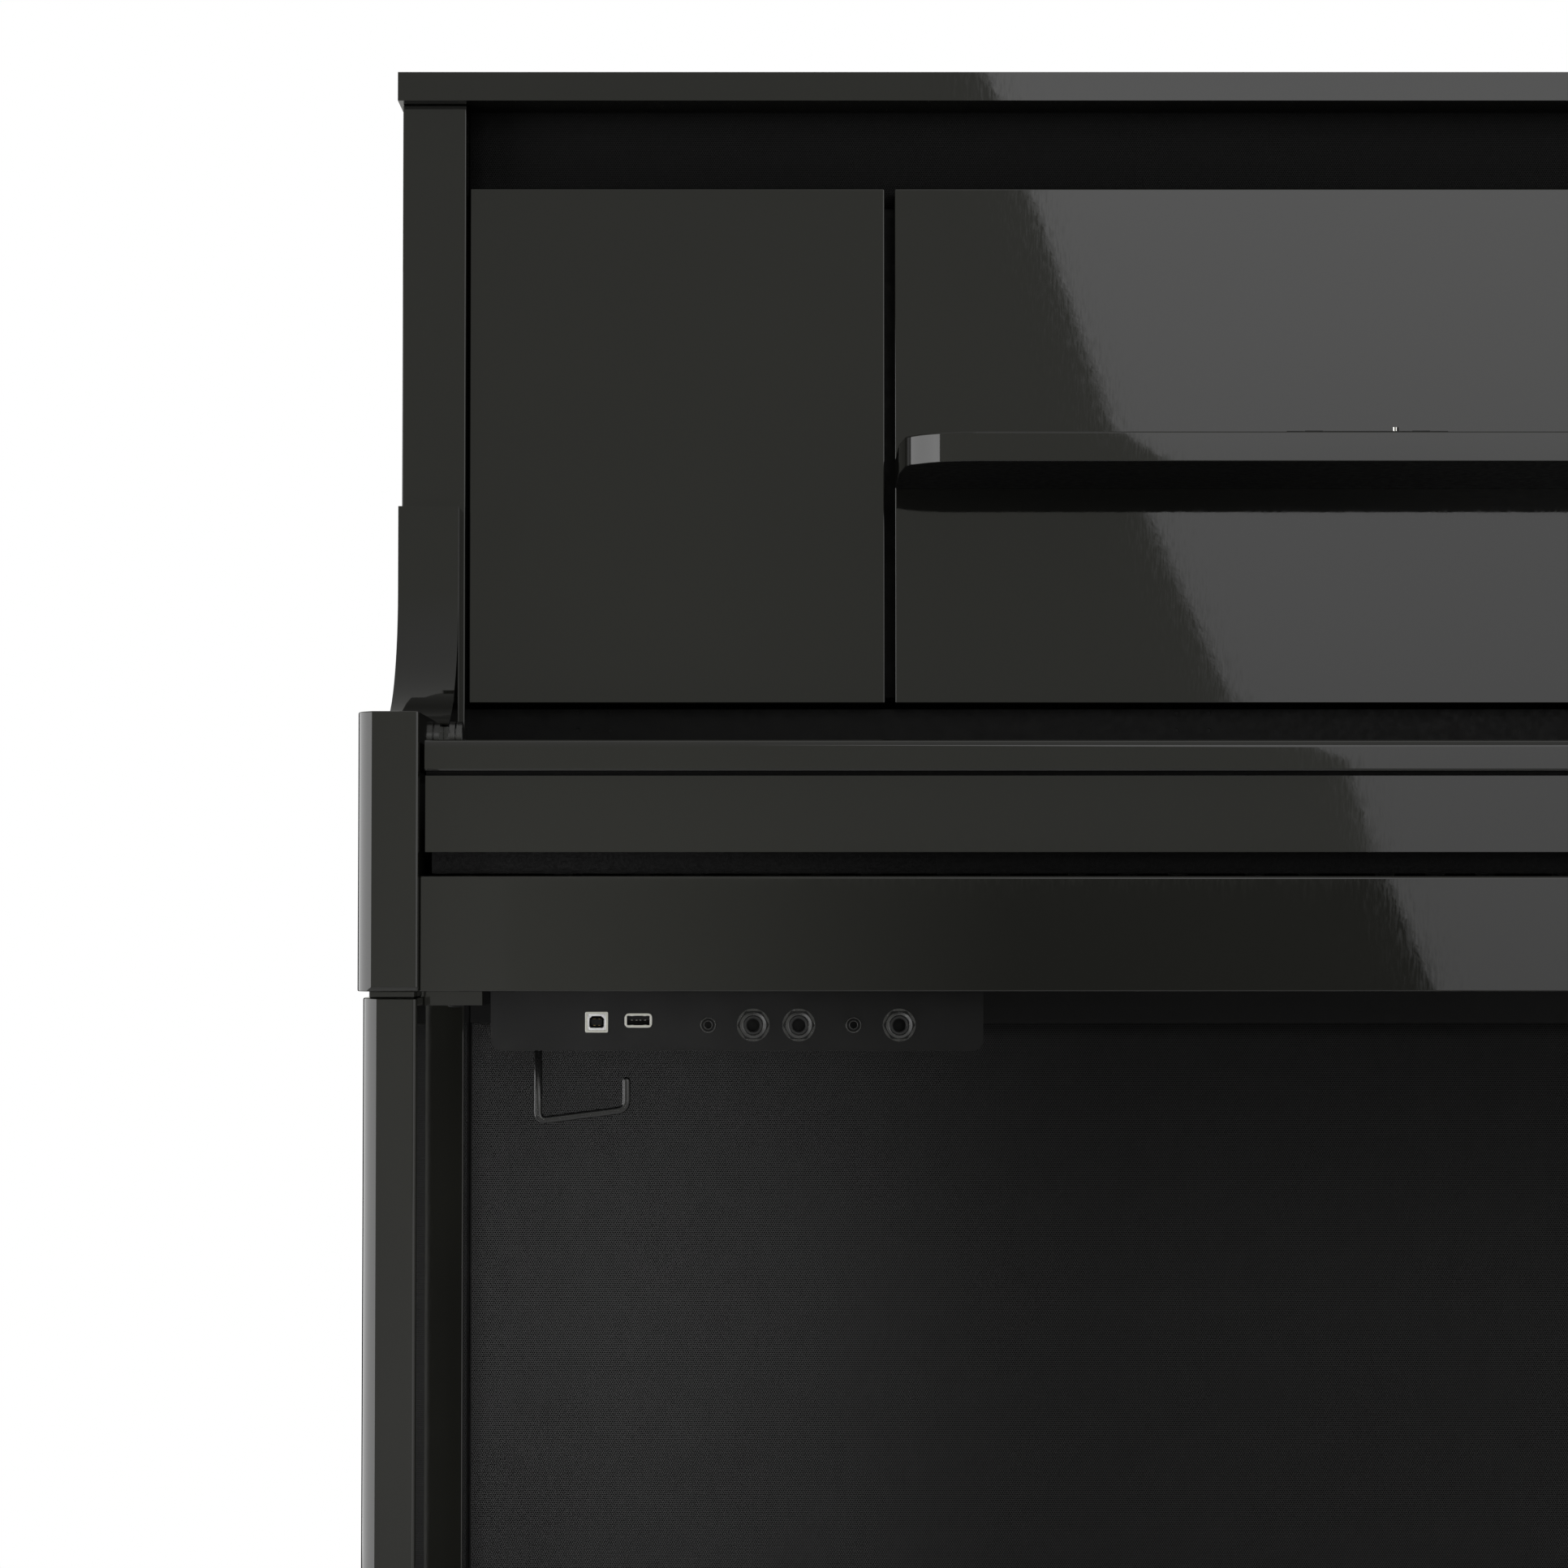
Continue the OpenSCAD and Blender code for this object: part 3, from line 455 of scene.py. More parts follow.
def wire(name, points, radius, material, bend=5 * MM, count=20):
    """A round wire along points in an XZ plane, with round bends and a domed end."""
    path = [Vector(points[0])]
    for a, b, c in zip(points, points[1:], points[2:]):
        a, b, c = Vector(a), Vector(b), Vector(c)
        start = b + (a - b).normalized() * bend
        end = b + (c - b).normalized() * bend
        for i in range(9):
            t = i / 8
            path.append(start * (1 - t) ** 2 + b * 2 * t * (1 - t) + end * t * t)
    path.append(Vector(points[-1]))
    verts = []
    side = Vector((0, 1, 0))
    last = len(path) - 1
    stations = [(p, 1.0) for p in path[:-1]]
    tip = (path[-1] - path[-2]).normalized()
    for i in range(7):
        a = math.radians(90 * i / 6)
        stations.append((path[-1] - tip * radius * (1 - math.sin(a)), max(math.cos(a), 0.02)))
    for i, (p, k) in enumerate(stations):
        before = stations[max(i - 1, 0)][0]
        after = stations[min(i + 1, len(stations) - 1)][0]
        along = (after - before).normalized() if i < last else tip
        up = side.cross(along).normalized()
        for j in range(count):
            a = 2 * math.pi * j / count
            verts.append(p + (side * math.cos(a) + up * math.sin(a)) * radius * k)
    return make(name, verts, tube_faces(len(stations), count), material, smooth=True)


# ------------------------------------------------------------------ CAD nodes kept

BEVELS = {
    "ebony_lacquer": 0.9 * MM,
    "black_board": 0.8 * MM,
    "black_metal": 0.6 * MM,
    "black_plastic": 0.5 * MM,
    "steel": 0.35 * MM,
    "nickel": 0.2 * MM,
    "brass": 0.4 * MM,
    "circuit_board": 0.3 * MM,
    "white_key": 0.9 * MM,
    "sharp_key": 1.1 * MM,
}
FINE = {
    "headphone_hook": 0,
    "page_holder_lugs": 0.2 * MM,
    "page_holder_left": 0.2 * MM,
    "page_holder_right": 0.2 * MM,
    "lid_hinges": 0.25 * MM,
    "power_inlet": 0.3 * MM,
}

for node, obj in NODES.items():
    slot = SLOT_OF[node]
    obj.data.materials.clear()
    obj.data.materials.append(MAT[slot])
    width = FINE.get(node, BEVELS.get(slot, 0))
    if width:
        round_edges(obj, width)


def paint(node, material, test):
    """Gives a CAD node's faces that pass the test another material."""
    obj = NODES[node]
    obj.data.materials.append(material)
    index = len(obj.data.materials) - 1
    for polygon in obj.data.polygons:
        if test(polygon.center, polygon.normal):
            polygon.material_index = index


def between(value, low, high):
    return low < value < high


BACK_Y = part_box("back_panel")[1].y
LEDGE_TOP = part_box("music_ledge")[1].z
KNOB_FROM = LEDGE_TOP + 3.9 * MM
FLAP_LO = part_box("fallboard")[0]
GROOVE_Y = FLAP_LO.y + 4.9 * MM, FLAP_LO.y + 10.1 * MM
GROOVE_Z = 764 * MM, 768.5 * MM
HARDWARE_END = 600 * MM
INLET_LO, INLET_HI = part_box("power_inlet")
BLADES = (
    (INLET_LO.x + 9.5 * MM, INLET_HI.x - 9.5 * MM),
    (BACK_Y - 13.8 * MM, BACK_Y - 1 * MM),
    (INLET_LO.z + 10.5 * MM, INLET_HI.z - 10.5 * MM),
)

paint("top_lid", MAT["brass"], lambda c, n: c.y > BACK_Y + 0.2 * MM)
paint("music_ledge", MAT["black_board"], lambda c, n: n.z < -0.9)
for side in ("left", "right"):
    paint("page_holder_" + side, MAT["nickel"], lambda c, n: c.z > KNOB_FROM)
paint("back_panel", FIBREBOARD, lambda c, n: True)
paint("fallboard_hardware", DARK_STEEL, lambda c, n: abs(c.x) > HARDWARE_END)
# The groove's faces between the fallboard's nose and flap get the matte near-black insert material: painted
# shade in the groove.
paint("fallboard", INSERT, lambda c, n: between(c.y, *GROOVE_Y) and between(c.z, *GROOVE_Z))
paint("leg_brackets", MAT["ebony_lacquer"], lambda c, n: True)
paint("power_inlet", MAT["nickel"], lambda c, n: all(between(v, *b) for v, b in zip(c, BLADES)))


# ------------------------------------------------------------------ grille cloths


def stretched_cloth(name, node, rows, material):
    """Speaker cloth pulled over its frame: flat in the middle, turned back along its edges."""
    lo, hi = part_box(node)
    w, h = hi.x - lo.x, hi.z - lo.z
    columns = 130
    xs = [lo.x + w * i / columns for i in range(columns + 1)]
    zs = [lo.z + h * i / rows for i in range(rows + 1)]
    front = lo.y + 0.45 * MM
    pull = 0.25 * MM
    turned_back = (0.36 * MM, 0.96 * MM)
    verts, faces = [], []

    def depth(x, z):
        """The cloth sinks a little away from its edges, and ripples along them."""
        edge = min(x - lo.x, hi.x - x, z - lo.z, hi.z - z)
        ripple = math.sin(x * 61 + 2.0 * math.sin(z * 9)) * math.exp(-edge / 0.02) * pull * 0.35
        return front + pull * (1 - math.exp(-edge / 0.05)) * 0.6 + ripple

    # Two more rings of points run around the grid; they form the edge that is turned back.
    for iz in range(-2, len(zs) + 2):
        for ix in range(-2, len(xs) + 2):
            x = xs[min(max(ix, 0), len(xs) - 1)]
            z = zs[min(max(iz, 0), len(zs) - 1)]
            over = max(0, -ix, ix - len(xs) + 1, -iz, iz - len(zs) + 1)
            y = depth(x, z) + (turned_back[over - 1] if over else 0)
            verts.append((x, y, z))
    row = len(xs) + 4
    for iz in range(len(zs) + 3):
        for ix in range(row - 1):
            a = iz * row + ix
            faces.append((a, a + 1, a + row + 1, a + row))
    obj = make(name, verts, faces, material, "cabinet", True)
    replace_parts(obj, node)
    thick = obj.modifiers.new("thick", "SOLIDIFY")
    thick.thickness = 0.35 * MM
    thick.offset = 0


stretched_cloth("lower_cloth", "lower_grille_cloth", 52, MAT["grille_cloth"])
# The upper band takes the darker copy of the cloth, painted shade under the lid.
stretched_cloth("upper_cloth", "upper_grille_cloth", 8, SHADE_PAINTED_CLOTH)


# ------------------------------------------------------------------ sockets

SOCKET_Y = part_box("jack_box")[0].y
USB_B, USB_A = (-564.7 * MM, 636.3 * MM), (-542.7 * MM, 637.2 * MM)
JACK_Z = 634.8 * MM
MINI_XS = -506.0 * MM, -429.4 * MM
QUARTER_XS = -482.2 * MM, -458.2 * MM, -405.3 * MM


def usb_b(shells, inner):
    """Square socket: a shell, a pale housing with cut corners, and a tongue with contacts."""
    x, z = USB_B
    y = SOCKET_Y - 0.6 * MM
    outer = rounded_rect(x, z, 12 * MM, 11 * MM, 0.7 * MM, 4)
    bore = rounded_rect(x, z, 9.4 * MM, 8.4 * MM, 0.5 * MM, 4)
    shells.prism(outer, y, y + 16 * MM, MAT["nickel"], bore)
    house = [(3.9, -2.2), (3.9, 1.7), (2.5, 3.2), (-2.5, 3.2)]
    house += [(-3.9, 1.7), (-3.9, -2.2), (-3.2, -3.0), (3.2, -3.0)]
    casing = [(4.75, -2.2), (4.75, 1.9), (4.4, 4.25), (-4.4, 4.25)]
    casing += [(-4.75, 1.9), (-4.75, -2.2), (-4.4, -4.25), (4.4, -4.25)]
    house, casing = ([(x + a * MM, z + b * MM) for a, b in line] for line in (house, casing))
    shells.prism(casing, y + 0.35 * MM, y + 9 * MM, PALE, house)
    for side in (-1, 1):
        shells.slab(x + side * 6 * MM, z, 0.6 * MM, 3.2 * MM, y + 4 * MM, y + 12 * MM, MAT["nickel"])
    inner.slab(x, z, 5.8 * MM, 3.2 * MM, y + 1.6 * MM, y + 15 * MM, INSERT)
    inner.slab(x, z, 9.4 * MM, 8.4 * MM, y + 14 * MM, y + 15 * MM, INSERT)
    for dx in (-1.3 * MM, 1.3 * MM):
        for dz in (-1.7 * MM, 1.7 * MM):
            inner.slab(x + dx, z + dz, 1 * MM, 0.3 * MM, y + 2 * MM, y + 12 * MM, GOLD)


def usb_a(shells, inner):
    """Flat socket: a flange, a shell with spring tabs, and a tongue with four contacts."""
    x, z = USB_A
    y = SOCKET_Y - 0.6 * MM
    flange = rounded_rect(x, z, 14.4 * MM, 7.6 * MM, 2.1 * MM, 4)
    mouth = rounded_rect(x, z, 12.1 * MM, 4.9 * MM, 0.5 * MM, 4)
    shells.prism(flange, y, y + 0.5 * MM, MAT["nickel"], mouth)
    outer = rounded_rect(x, z, 13.3 * MM, 5.9 * MM, 0.7 * MM, 4)
    bore = rounded_rect(x, z, 12.5 * MM, 5.1 * MM, 0.5 * MM, 4)
    shells.prism(outer, y + 0.4 * MM, y + 16 * MM, MAT["nickel"], bore)
    for dx in (-3.4 * MM, 3.4 * MM):
        for dz in (-2.45 * MM, 2.45 * MM):
            shells.slab(x + dx, z + dz, 1.8 * MM, 0.44 * MM, y + 0.9 * MM, y + 6.5 * MM, MAT["nickel"])
    inner.slab(x, z + 1.15 * MM, 11.2 * MM, 1.7 * MM, y + 1.4 * MM, y + 15 * MM, INSERT)
    inner.slab(x, z, 12.4 * MM, 5 * MM, y + 14 * MM, y + 15 * MM, INSERT)
    for dx in (-3.5 * MM, -1 * MM, 1 * MM, 3.5 * MM):
        inner.slab(x + dx, z + 0.18 * MM, 1 * MM, 0.32 * MM, y + 1.9 * MM, y + 12 * MM, MAT["nickel"])


def turned(parts, x, profile, material):
    """A jack's turned piece, from (radius, depth behind the box's face) points in millimetres."""
    scaled = [(r * MM, -depth * MM) for r, depth in profile]
    parts.lathe(scaled, (x, SOCKET_Y, JACK_Z), (0, -1, 0), material)


def quarter_jack(parts, x):
    """Washer, hexagon nut with a turned rim, threaded barrel with its bore, and contacts."""
    y, z = SOCKET_Y, JACK_Z
    hole = circle(x, z, 5.05 * MM, 30)
    parts.prism(circle(x, z, 8.7 * MM, 30), y - 0.5 * MM, y + 0.02 * MM, NUT, hole)
    parts.prism(hexagon(x, z, 8.3 * MM), y - 2.3 * MM, y - 0.45 * MM, MAT["black_metal"], hole)
    rim = [(7.0, -2.2), (6.9, -2.75), (5.6, -3.05), (5.05, -2.75), (5.05, -2.2), (7.0, -2.2)]
    turned(parts, x, rim, NUT)
    barrel = [(5.05, 4), (5.05, -2.9), (4.75, -3.2), (3.9, -3.2), (3.3, -2.6), (3.25, 26.8), (0.05, 26.8)]
    barrel += [(0.05, 27.6), (4.4, 27.6), (4.4, 4), (5.05, 4)]
    turned(parts, x, barrel, MAT["black_plastic"])
    for d in (-2.7, -2.2):
        thread = [(4.9, d), (5.2, d + 0.12), (5.2, d + 0.22), (4.9, d + 0.34), (4.9, d)]
        turned(parts, x, thread, MAT["black_plastic"])
    for degrees in (30, 150, 270):
        a = math.radians(degrees)
        cx, cz = x + 3.1 * MM * math.cos(a), z + 3.1 * MM * math.sin(a)
        parts.slab(cx, cz, 1 * MM, 0.7 * MM, y + 6 * MM, y + 14 * MM, GOLD)
    parts.slab(x, z, 14 * MM, 14 * MM, y + 4 * MM, y + 5.5 * MM, INSERT)


def mini_jack(parts, x):
    """A small barrel with its bore, a collar and a rim."""
    y, z = SOCKET_Y, JACK_Z
    barrel = [(3.4, 3), (3.4, -0.7), (3.1, -1.15), (2.5, -1.15), (1.95, -0.7), (1.8, 12.6), (0.05, 12.6)]
    barrel += [(0.05, 13.2), (2.6, 13.2), (2.6, 3), (3.4, 3)]
    turned(parts, x, barrel, INSERT)
    collar = [(4.3, 0.02), (4.3, -0.5), (4.0, -0.85), (3.5, -0.85), (3.35, -0.5), (3.35, 0.02), (4.3, 0.02)]
    turned(parts, x, collar, NUT)
    turned(parts, x, [(2.5, -0.9), (2.3, -1.3), (2.0, -1.3), (1.85, -0.9), (2.5, -0.9)], NUT)
    parts.slab(x, z, 8 * MM, 8 * MM, y + 3.4 * MM, y + 4.2 * MM, INSERT)


usb_shells, usb_tongues = Parts(), Parts()
usb_b(usb_shells, usb_tongues)
usb_a(usb_shells, usb_tongues)
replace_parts(usb_shells.build("usb_shells", slot="nickel", bevel=0.16 * MM), "sockets")
usb_tongues.build("usb_tongues", slot="black_plastic", bevel=0.12 * MM)

jacks = Parts()
for x in QUARTER_XS:
    quarter_jack(jacks, x)
for x in MINI_XS:
    mini_jack(jacks, x)
jacks.build("audio_sockets", slot="black_plastic", bevel=0.12 * MM, angle=40)


# ------------------------------------------------------------------ headphone hook

HOOK_LO, HOOK_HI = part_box("headphone_hook")
HOOK_Y = (HOOK_LO.y + HOOK_HI.y) / 2
HOOK_X = HOOK_LO.x + 2.3 * MM, -549.5 * MM
HOOK_Z = 622.6 * MM, 583.7 * MM, 589.7 * MM, 607.0 * MM
hook = wire(
    "hook_wire",
    [
        (HOOK_X[0], HOOK_Y, HOOK_Z[0]),
        (HOOK_X[0], HOOK_Y, HOOK_Z[1]),
        (HOOK_X[1], HOOK_Y, HOOK_Z[2]),
        (HOOK_X[1], HOOK_Y, HOOK_Z[3]),
    ],
    2.05 * MM,
    HOOK_COAT,
)
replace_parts(hook, "headphone_hook")


# ------------------------------------------------------------------ pedals

PEDAL_REAR_Y = 121.5 * MM
PEDAL_ROD_Y, PEDAL_ROD_Z = 130 * MM, 83 * MM


def quarter_circle(k):
    """Height of a round nose at a share k of its length."""
    return math.sqrt(max(0.0, 1 - (1 - k) ** 2))


def pedal(name, node):
    """Cast brass pedal: a crowned, rounded toe, a slim waist and an eye on the rod."""
    lo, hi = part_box(node)
    cx = (lo.x + hi.x) / 2
    top = lo.z + 6.1 * MM
    toe, waist, crown = 12.6 * MM, 8 * MM, 0.9 * MM
    toe_len, taper_len, swell_len, nose_len = 13 * MM, 70 * MM, 60 * MM, 4 * MM
    steps, count = 40, 28
    verts = []
    for i in range(steps + 1):
        d = (PEDAL_REAR_Y - lo.y) * (i / steps) ** 1.5
        if d < toe_len:
            half = toe * quarter_circle(d / toe_len)
        else:
            k = min(1.0, (d - toe_len) / taper_len)
            half = toe + (waist - toe) * k * k * (3 - 2 * k)
        half = max(half, 0.3 * MM)
        thick = (3.6 + 3.2 * min(1.0, d / swell_len)) * MM
        if d < nose_len:
            thick *= 0.35 + 0.65 * quarter_circle(d / nose_len)
        for j in range(count):
            a = 2 * math.pi * j / count
            c, s = math.cos(a), math.sin(a)
            x = half * math.copysign(abs(c) ** 0.62, c)
            z = thick / 2 * (math.copysign(abs(s) ** 0.75, s) - 1)
            if s > 0:
                z += crown * (1 - (x / half) ** 2)
            verts.append((cx + x, lo.y + d, top + z))
    lever = make(name, verts, tube_faces(steps + 1, count), MAT["brass"], node, True)
    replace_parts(lever, node)
    ring = [(r * MM, h * MM) for r, h in ((9, -9), (9, 9), (4.06, 9), (4.06, -9), (9, -9))]
    eye = Parts()
    eye.lathe(ring, (cx, PEDAL_ROD_Y, PEDAL_ROD_Z), (1, 0, 0), MAT["brass"], 48)
    eye.build(name + "_eye", node, "brass", 0.5 * MM)


for short in ("soft", "sostenuto", "damper"):
    pedal(short + "_lever", short + "_pedal")


# ------------------------------------------------------------------ pedal slots and felts

RAIL_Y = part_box("bottom_rail")[0].y
SLOT_XS = -68 * MM, 0, 68 * MM
SLOT_Z = 74 * MM


def slot_ring(parts, cx, outer, inner, y0, y1, material):
    """A rectangular ring around a pedal slot: (width, height, radius) outside and inside."""
    parts.prism(rounded_rect(cx, SLOT_Z, *outer, 5), y0, y1, material, rounded_rect(cx, SLOT_Z, *inner, 5))


trims = Parts()
for cx in SLOT_XS:
    plate, hole = (33 * MM, 35 * MM, 3 * MM), (29.4 * MM, 31.4 * MM, 1.6 * MM)
    slot_ring(trims, cx, plate, hole, RAIL_Y - 0.9 * MM, RAIL_Y + 0.4 * MM, MAT["brass"])
    lining, gap = (30 * MM, 32 * MM, 1.6 * MM), (27.4 * MM, 29.4 * MM, 1 * MM)
    slot_ring(trims, cx, lining, gap, RAIL_Y + 0.6 * MM, RAIL_Y + 19 * MM, DARK_FELT)
trims.build("pedal_slot_trims", slot="brass", bevel=0.3 * MM)

SHELF_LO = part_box("fallboard_rail")[0]
KEYS_HALF = 611 * MM
key_felt = Parts()
key_felt.box(
    (-KEYS_HALF, SHELF_LO.y + 1 * MM, SHELF_LO.z - 6 * MM),
    (KEYS_HALF, SHELF_LO.y + 4 * MM, SHELF_LO.z + 0.01 * MM),
    RED_FELT,
)
key_felt.build("key_felt", slot="black_board", bevel=0.8 * MM)

# A felt strip behind the flap closes the gap down to the key slip; its near-black colour is painted shade
# standing for the shade in that gap.
FLAP_FELT_HALF = 650 * MM
FLAP_FELT_Z = 714.3 * MM
flap_felt = Parts()
flap_felt.box(
    (-FLAP_FELT_HALF, FLAP_LO.y + 14.99 * MM, FLAP_FELT_Z),
    (FLAP_FELT_HALF, FLAP_LO.y + 17.4 * MM, FLAP_LO.z + 14 * MM),
    DARK_FELT,
)
flap_felt.build("fallboard_felt", "fallboard", "ebony_lacquer", 0.7 * MM)


# ------------------------------------------------------------------ screws


def screw(parts, centre, axis, radius, material, rise=1.1 * MM):
    """A pan-head screw whose cross recess is drawn as near-black bars in a shallow dish: painted shade in
    the recess.
    """
    r = radius
    profile = [(r, 0), (r * 0.98, rise * 0.35), (r * 0.8, rise * 0.82)]
    profile += [(r * 0.46, rise), (r * 0.42, rise * 0.5), (0.05 * MM, rise * 0.45)]
    parts.lathe(profile, centre, axis, material, 24)
    turn = Vector((0, 0, 1)).rotation_difference(Vector(axis)).to_matrix()
    # The near-black cross bars are painted shade standing for the recess.
    for w, d in ((r * 0.1, r * 0.42), (r * 0.42, r * 0.1)):
        corners = [(x, y, h) for h in (rise * 0.3, rise * 0.62) for y in (-d, d) for x in (-w, w)]
        parts.add([turn @ Vector(c) + Vector(centre) for c in corners], BOX_FACES, INSERT)


PANEL_LO, PANEL_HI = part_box("back_panel")
EDGE_IN = 20 * MM
HINGE_XS = -470 * MM, 0, 470 * MM
HINGE_SCREW_Z = 1150 * MM
SIDE_SCREW_ZS = 250 * MM, 420 * MM, 800 * MM, 960 * MM
INLET_X, INLET_Z = (INLET_LO.x + INLET_HI.x) / 2, (INLET_LO.z + INLET_HI.z) / 2
BRACKET_SCREW_X = 642 * MM
BRACKET_SCREW_YS = -170 * MM, -120 * MM, -95 * MM

left, right = PANEL_LO.x + EDGE_IN, PANEL_HI.x - EDGE_IN
rows = PANEL_LO.z + 20 * MM, PANEL_LO.z + 600 * MM, PANEL_HI.z - 55 * MM
spots = [(left + (right - left) * i / 8, z) for i in range(9) for z in rows]
spots += [(x, z) for z in SIDE_SCREW_ZS for x in (left, right)]
heads = Parts()
for x, z in spots:
    screw(heads, (x, BACK_Y - 0.05 * MM, z), (0, 1, 0), 4 * MM, MAT["steel"])
for hx in HINGE_XS:
    for dx in (-24 * MM, 0, 24 * MM):
        centre = (hx + dx, BACK_Y + 1.35 * MM, HINGE_SCREW_Z)
        screw(heads, centre, (0, 1, 0), 2.6 * MM, MAT["brass"], 0.8 * MM)
for dx in (-15.5 * MM, 15.5 * MM):
    centre = (INLET_X + dx, BACK_Y + 1.95 * MM, INLET_Z)
    screw(heads, centre, (0, 1, 0), 1.6 * MM, MAT["steel"], 0.7 * MM)
heads.build("back_screws", slot="steel")

BRACKET_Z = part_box("leg_brackets")[0].z
heads = Parts()
for x in (-BRACKET_SCREW_X, BRACKET_SCREW_X):
    for y in BRACKET_SCREW_YS:
        screw(heads, (x, y, BRACKET_Z + 0.05 * MM), (0, 0, -1), 4.4 * MM, MAT["black_metal"], 1.2 * MM)
heads.build("bracket_screws", slot="black_metal")


# ------------------------------------------------------------------ back panel details

BRACE_XS = -360 * MM, 0, 360 * MM
BRACE_Z = 90 * MM, 1115 * MM
VENT_XS = -180 * MM, 180 * MM
VENT_Z = 560 * MM
VENT_SLOTS, VENT_PITCH = 14, 10 * MM

braces = Parts()
for x in BRACE_XS:
    lo = (x - 30 * MM, BACK_Y - 0.2 * MM, BRACE_Z[0])
    braces.box(lo, (x + 30 * MM, BACK_Y + 4.2 * MM, BRACE_Z[1]), FIBREBOARD)
braces.build("back_braces", slot="black_board", bevel=1.2 * MM)
vents = Parts()
for middle in VENT_XS:
    for i in range(VENT_SLOTS):
        x = middle + (i - (VENT_SLOTS - 1) / 2) * VENT_PITCH
        rim = rounded_rect(x, VENT_Z, 5.4 * MM, 90 * MM, 2.4 * MM, 5)
        opening = rounded_rect(x, VENT_Z, 3.2 * MM, 87.8 * MM, 1.5 * MM, 5)
        # Each vent's opening is closed flush with a near-black plate: painted shade standing for the hole.
        dark = rounded_rect(x, VENT_Z, 3.4 * MM, 88 * MM, 1.6 * MM, 5)
        vents.prism(rim, BACK_Y - 0.1 * MM, BACK_Y + 0.9 * MM, MAT["black_plastic"], opening)
        vents.prism(dark, BACK_Y - 0.05 * MM, BACK_Y + 0.1 * MM, INSERT)
vents.build("back_vents", slot="black_plastic", bevel=0.15 * MM, angle=50)


# ------------------------------------------------------------------ control panel

DECK_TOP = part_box("control_panel")[1].z
SCREEN_X, SCREEN_Y = (-645 * MM, -621 * MM), (-149 * MM, -109 * MM)
window = Parts()
window.box(
    (SCREEN_X[0], SCREEN_Y[0], DECK_TOP - 0.3 * MM),
    (SCREEN_X[1], SCREEN_Y[1], DECK_TOP + 0.25 * MM),
    GLASS,
)
window.build("display_window", slot="black_plastic", bevel=0.2 * MM)


def bar(parts, cx, cy, w, h, z, turn=0.0):
    """A printed bar on an upper face at height z."""
    c, s = math.cos(turn), math.sin(turn)
    xs, ys, zs = (-w / 2, w / 2), (-h / 2, h / 2), (z - 0.02 * MM, z + 0.06 * MM)
    corners = [(x, y, top) for top in zs for y in ys for x in xs]
    parts.add([(cx + x * c - y * s, cy + x * s + y * c, top) for x, y, top in corners], BOX_FACES, MARK)


def arc(parts, cx, cy, r, z, start, end, count=20):
    """A printed arc of short bars between two angles in degrees."""
    step = math.radians(end - start) / count
    for i in range(count):
        a = math.radians(start) + step * (i + 0.5)
        bar(parts, cx + r * math.cos(a), cy + r * math.sin(a), 0.35 * MM, r * step * 1.15, z, a)


def icon(button):
    """The printed mark on a button."""
    lo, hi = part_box(button)
    cx, cy, z = (lo.x + hi.x) / 2, (lo.y + hi.y) / 2, hi.z
    parts = Parts()
    if button == "tone_button":
        for dy in (-1.2 * MM, 0, 1.2 * MM):
            bar(parts, cx, cy + dy, 3.6 * MM, 0.4 * MM, z)
    elif button == "metronome_button":
        for side in (-1, 1):
            bar(parts, cx + side * 0.9 * MM, cy, 0.35 * MM, 3.6 * MM, z, math.radians(side * 16))
        bar(parts, cx, cy - 1.7 * MM, 3.0 * MM, 0.35 * MM, z)
    elif button == "play_button":
        for dx in (-0.8 * MM, 0.9 * MM):
            bar(parts, cx + dx, cy, 0.6 * MM, 2.8 * MM, z)
    else:
        arc(parts, cx, cy, 2.6 * MM, z, 125, 415)
        bar(parts, cx, cy + 2.2 * MM, 0.4 * MM, 2.4 * MM, z)
    parts.build(button + "_icon", button)


for button in ("tone_button", "metronome_button", "play_button", "power_button"):
    icon(button)

KNOB_LO, KNOB_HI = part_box("volume_knob")
KNOB_X, KNOB_Y = (KNOB_LO.x + KNOB_HI.x) / 2, (KNOB_LO.y + KNOB_HI.y) / 2
KNOB_BASE = KNOB_HI.z - 6 * MM
# (height, radius) in millimetres; the side, wider than FLUTED_FROM, is fluted FLUTE deep.
KNOB_LEVELS = [(0.0, 8.5), (0.6, 9.0), (4.9, 8.7), (5.7, 8.1), (6.0, 7.2), (5.75, 6.6), (5.75, 0.05)]
FLUTED_FROM, FLUTE, FLUTE_POINTS = 8, 0.22, 72
KNOB_STEM = [(0.05 * MM, 0), (3 * MM, 0), (3 * MM, 11 * MM), (0.05 * MM, 11 * MM)]


def fluted_cap(parts):
    """The volume knob's cap."""
    verts = []
    for h, r in KNOB_LEVELS:
        for i in range(FLUTE_POINTS):
            a = 2 * math.pi * i / FLUTE_POINTS
            d = (r - FLUTE if i % 2 and r > FLUTED_FROM else r) * MM
            verts.append((KNOB_X + d * math.cos(a), KNOB_Y + d * math.sin(a), KNOB_BASE + h * MM))
    parts.add(verts, tube_faces(len(KNOB_LEVELS), FLUTE_POINTS), MAT["black_plastic"])


knob = Parts()
fluted_cap(knob)
knob.lathe(KNOB_STEM, (KNOB_X, KNOB_Y, KNOB_LO.z), (0, 0, 1), MAT["steel"], 32)
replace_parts(knob.build("volume_cap", "volume_knob", "black_plastic", 0.12 * MM, 2, 50), "volume_knob")
pointer = Parts()
bar(pointer, KNOB_X, KNOB_Y + 4.2 * MM, 0.7 * MM, 3.6 * MM, KNOB_BASE + 5.8 * MM)
pointer.build("volume_pointer", "volume_knob")


# ------------------------------------------------------------------ loudspeakers

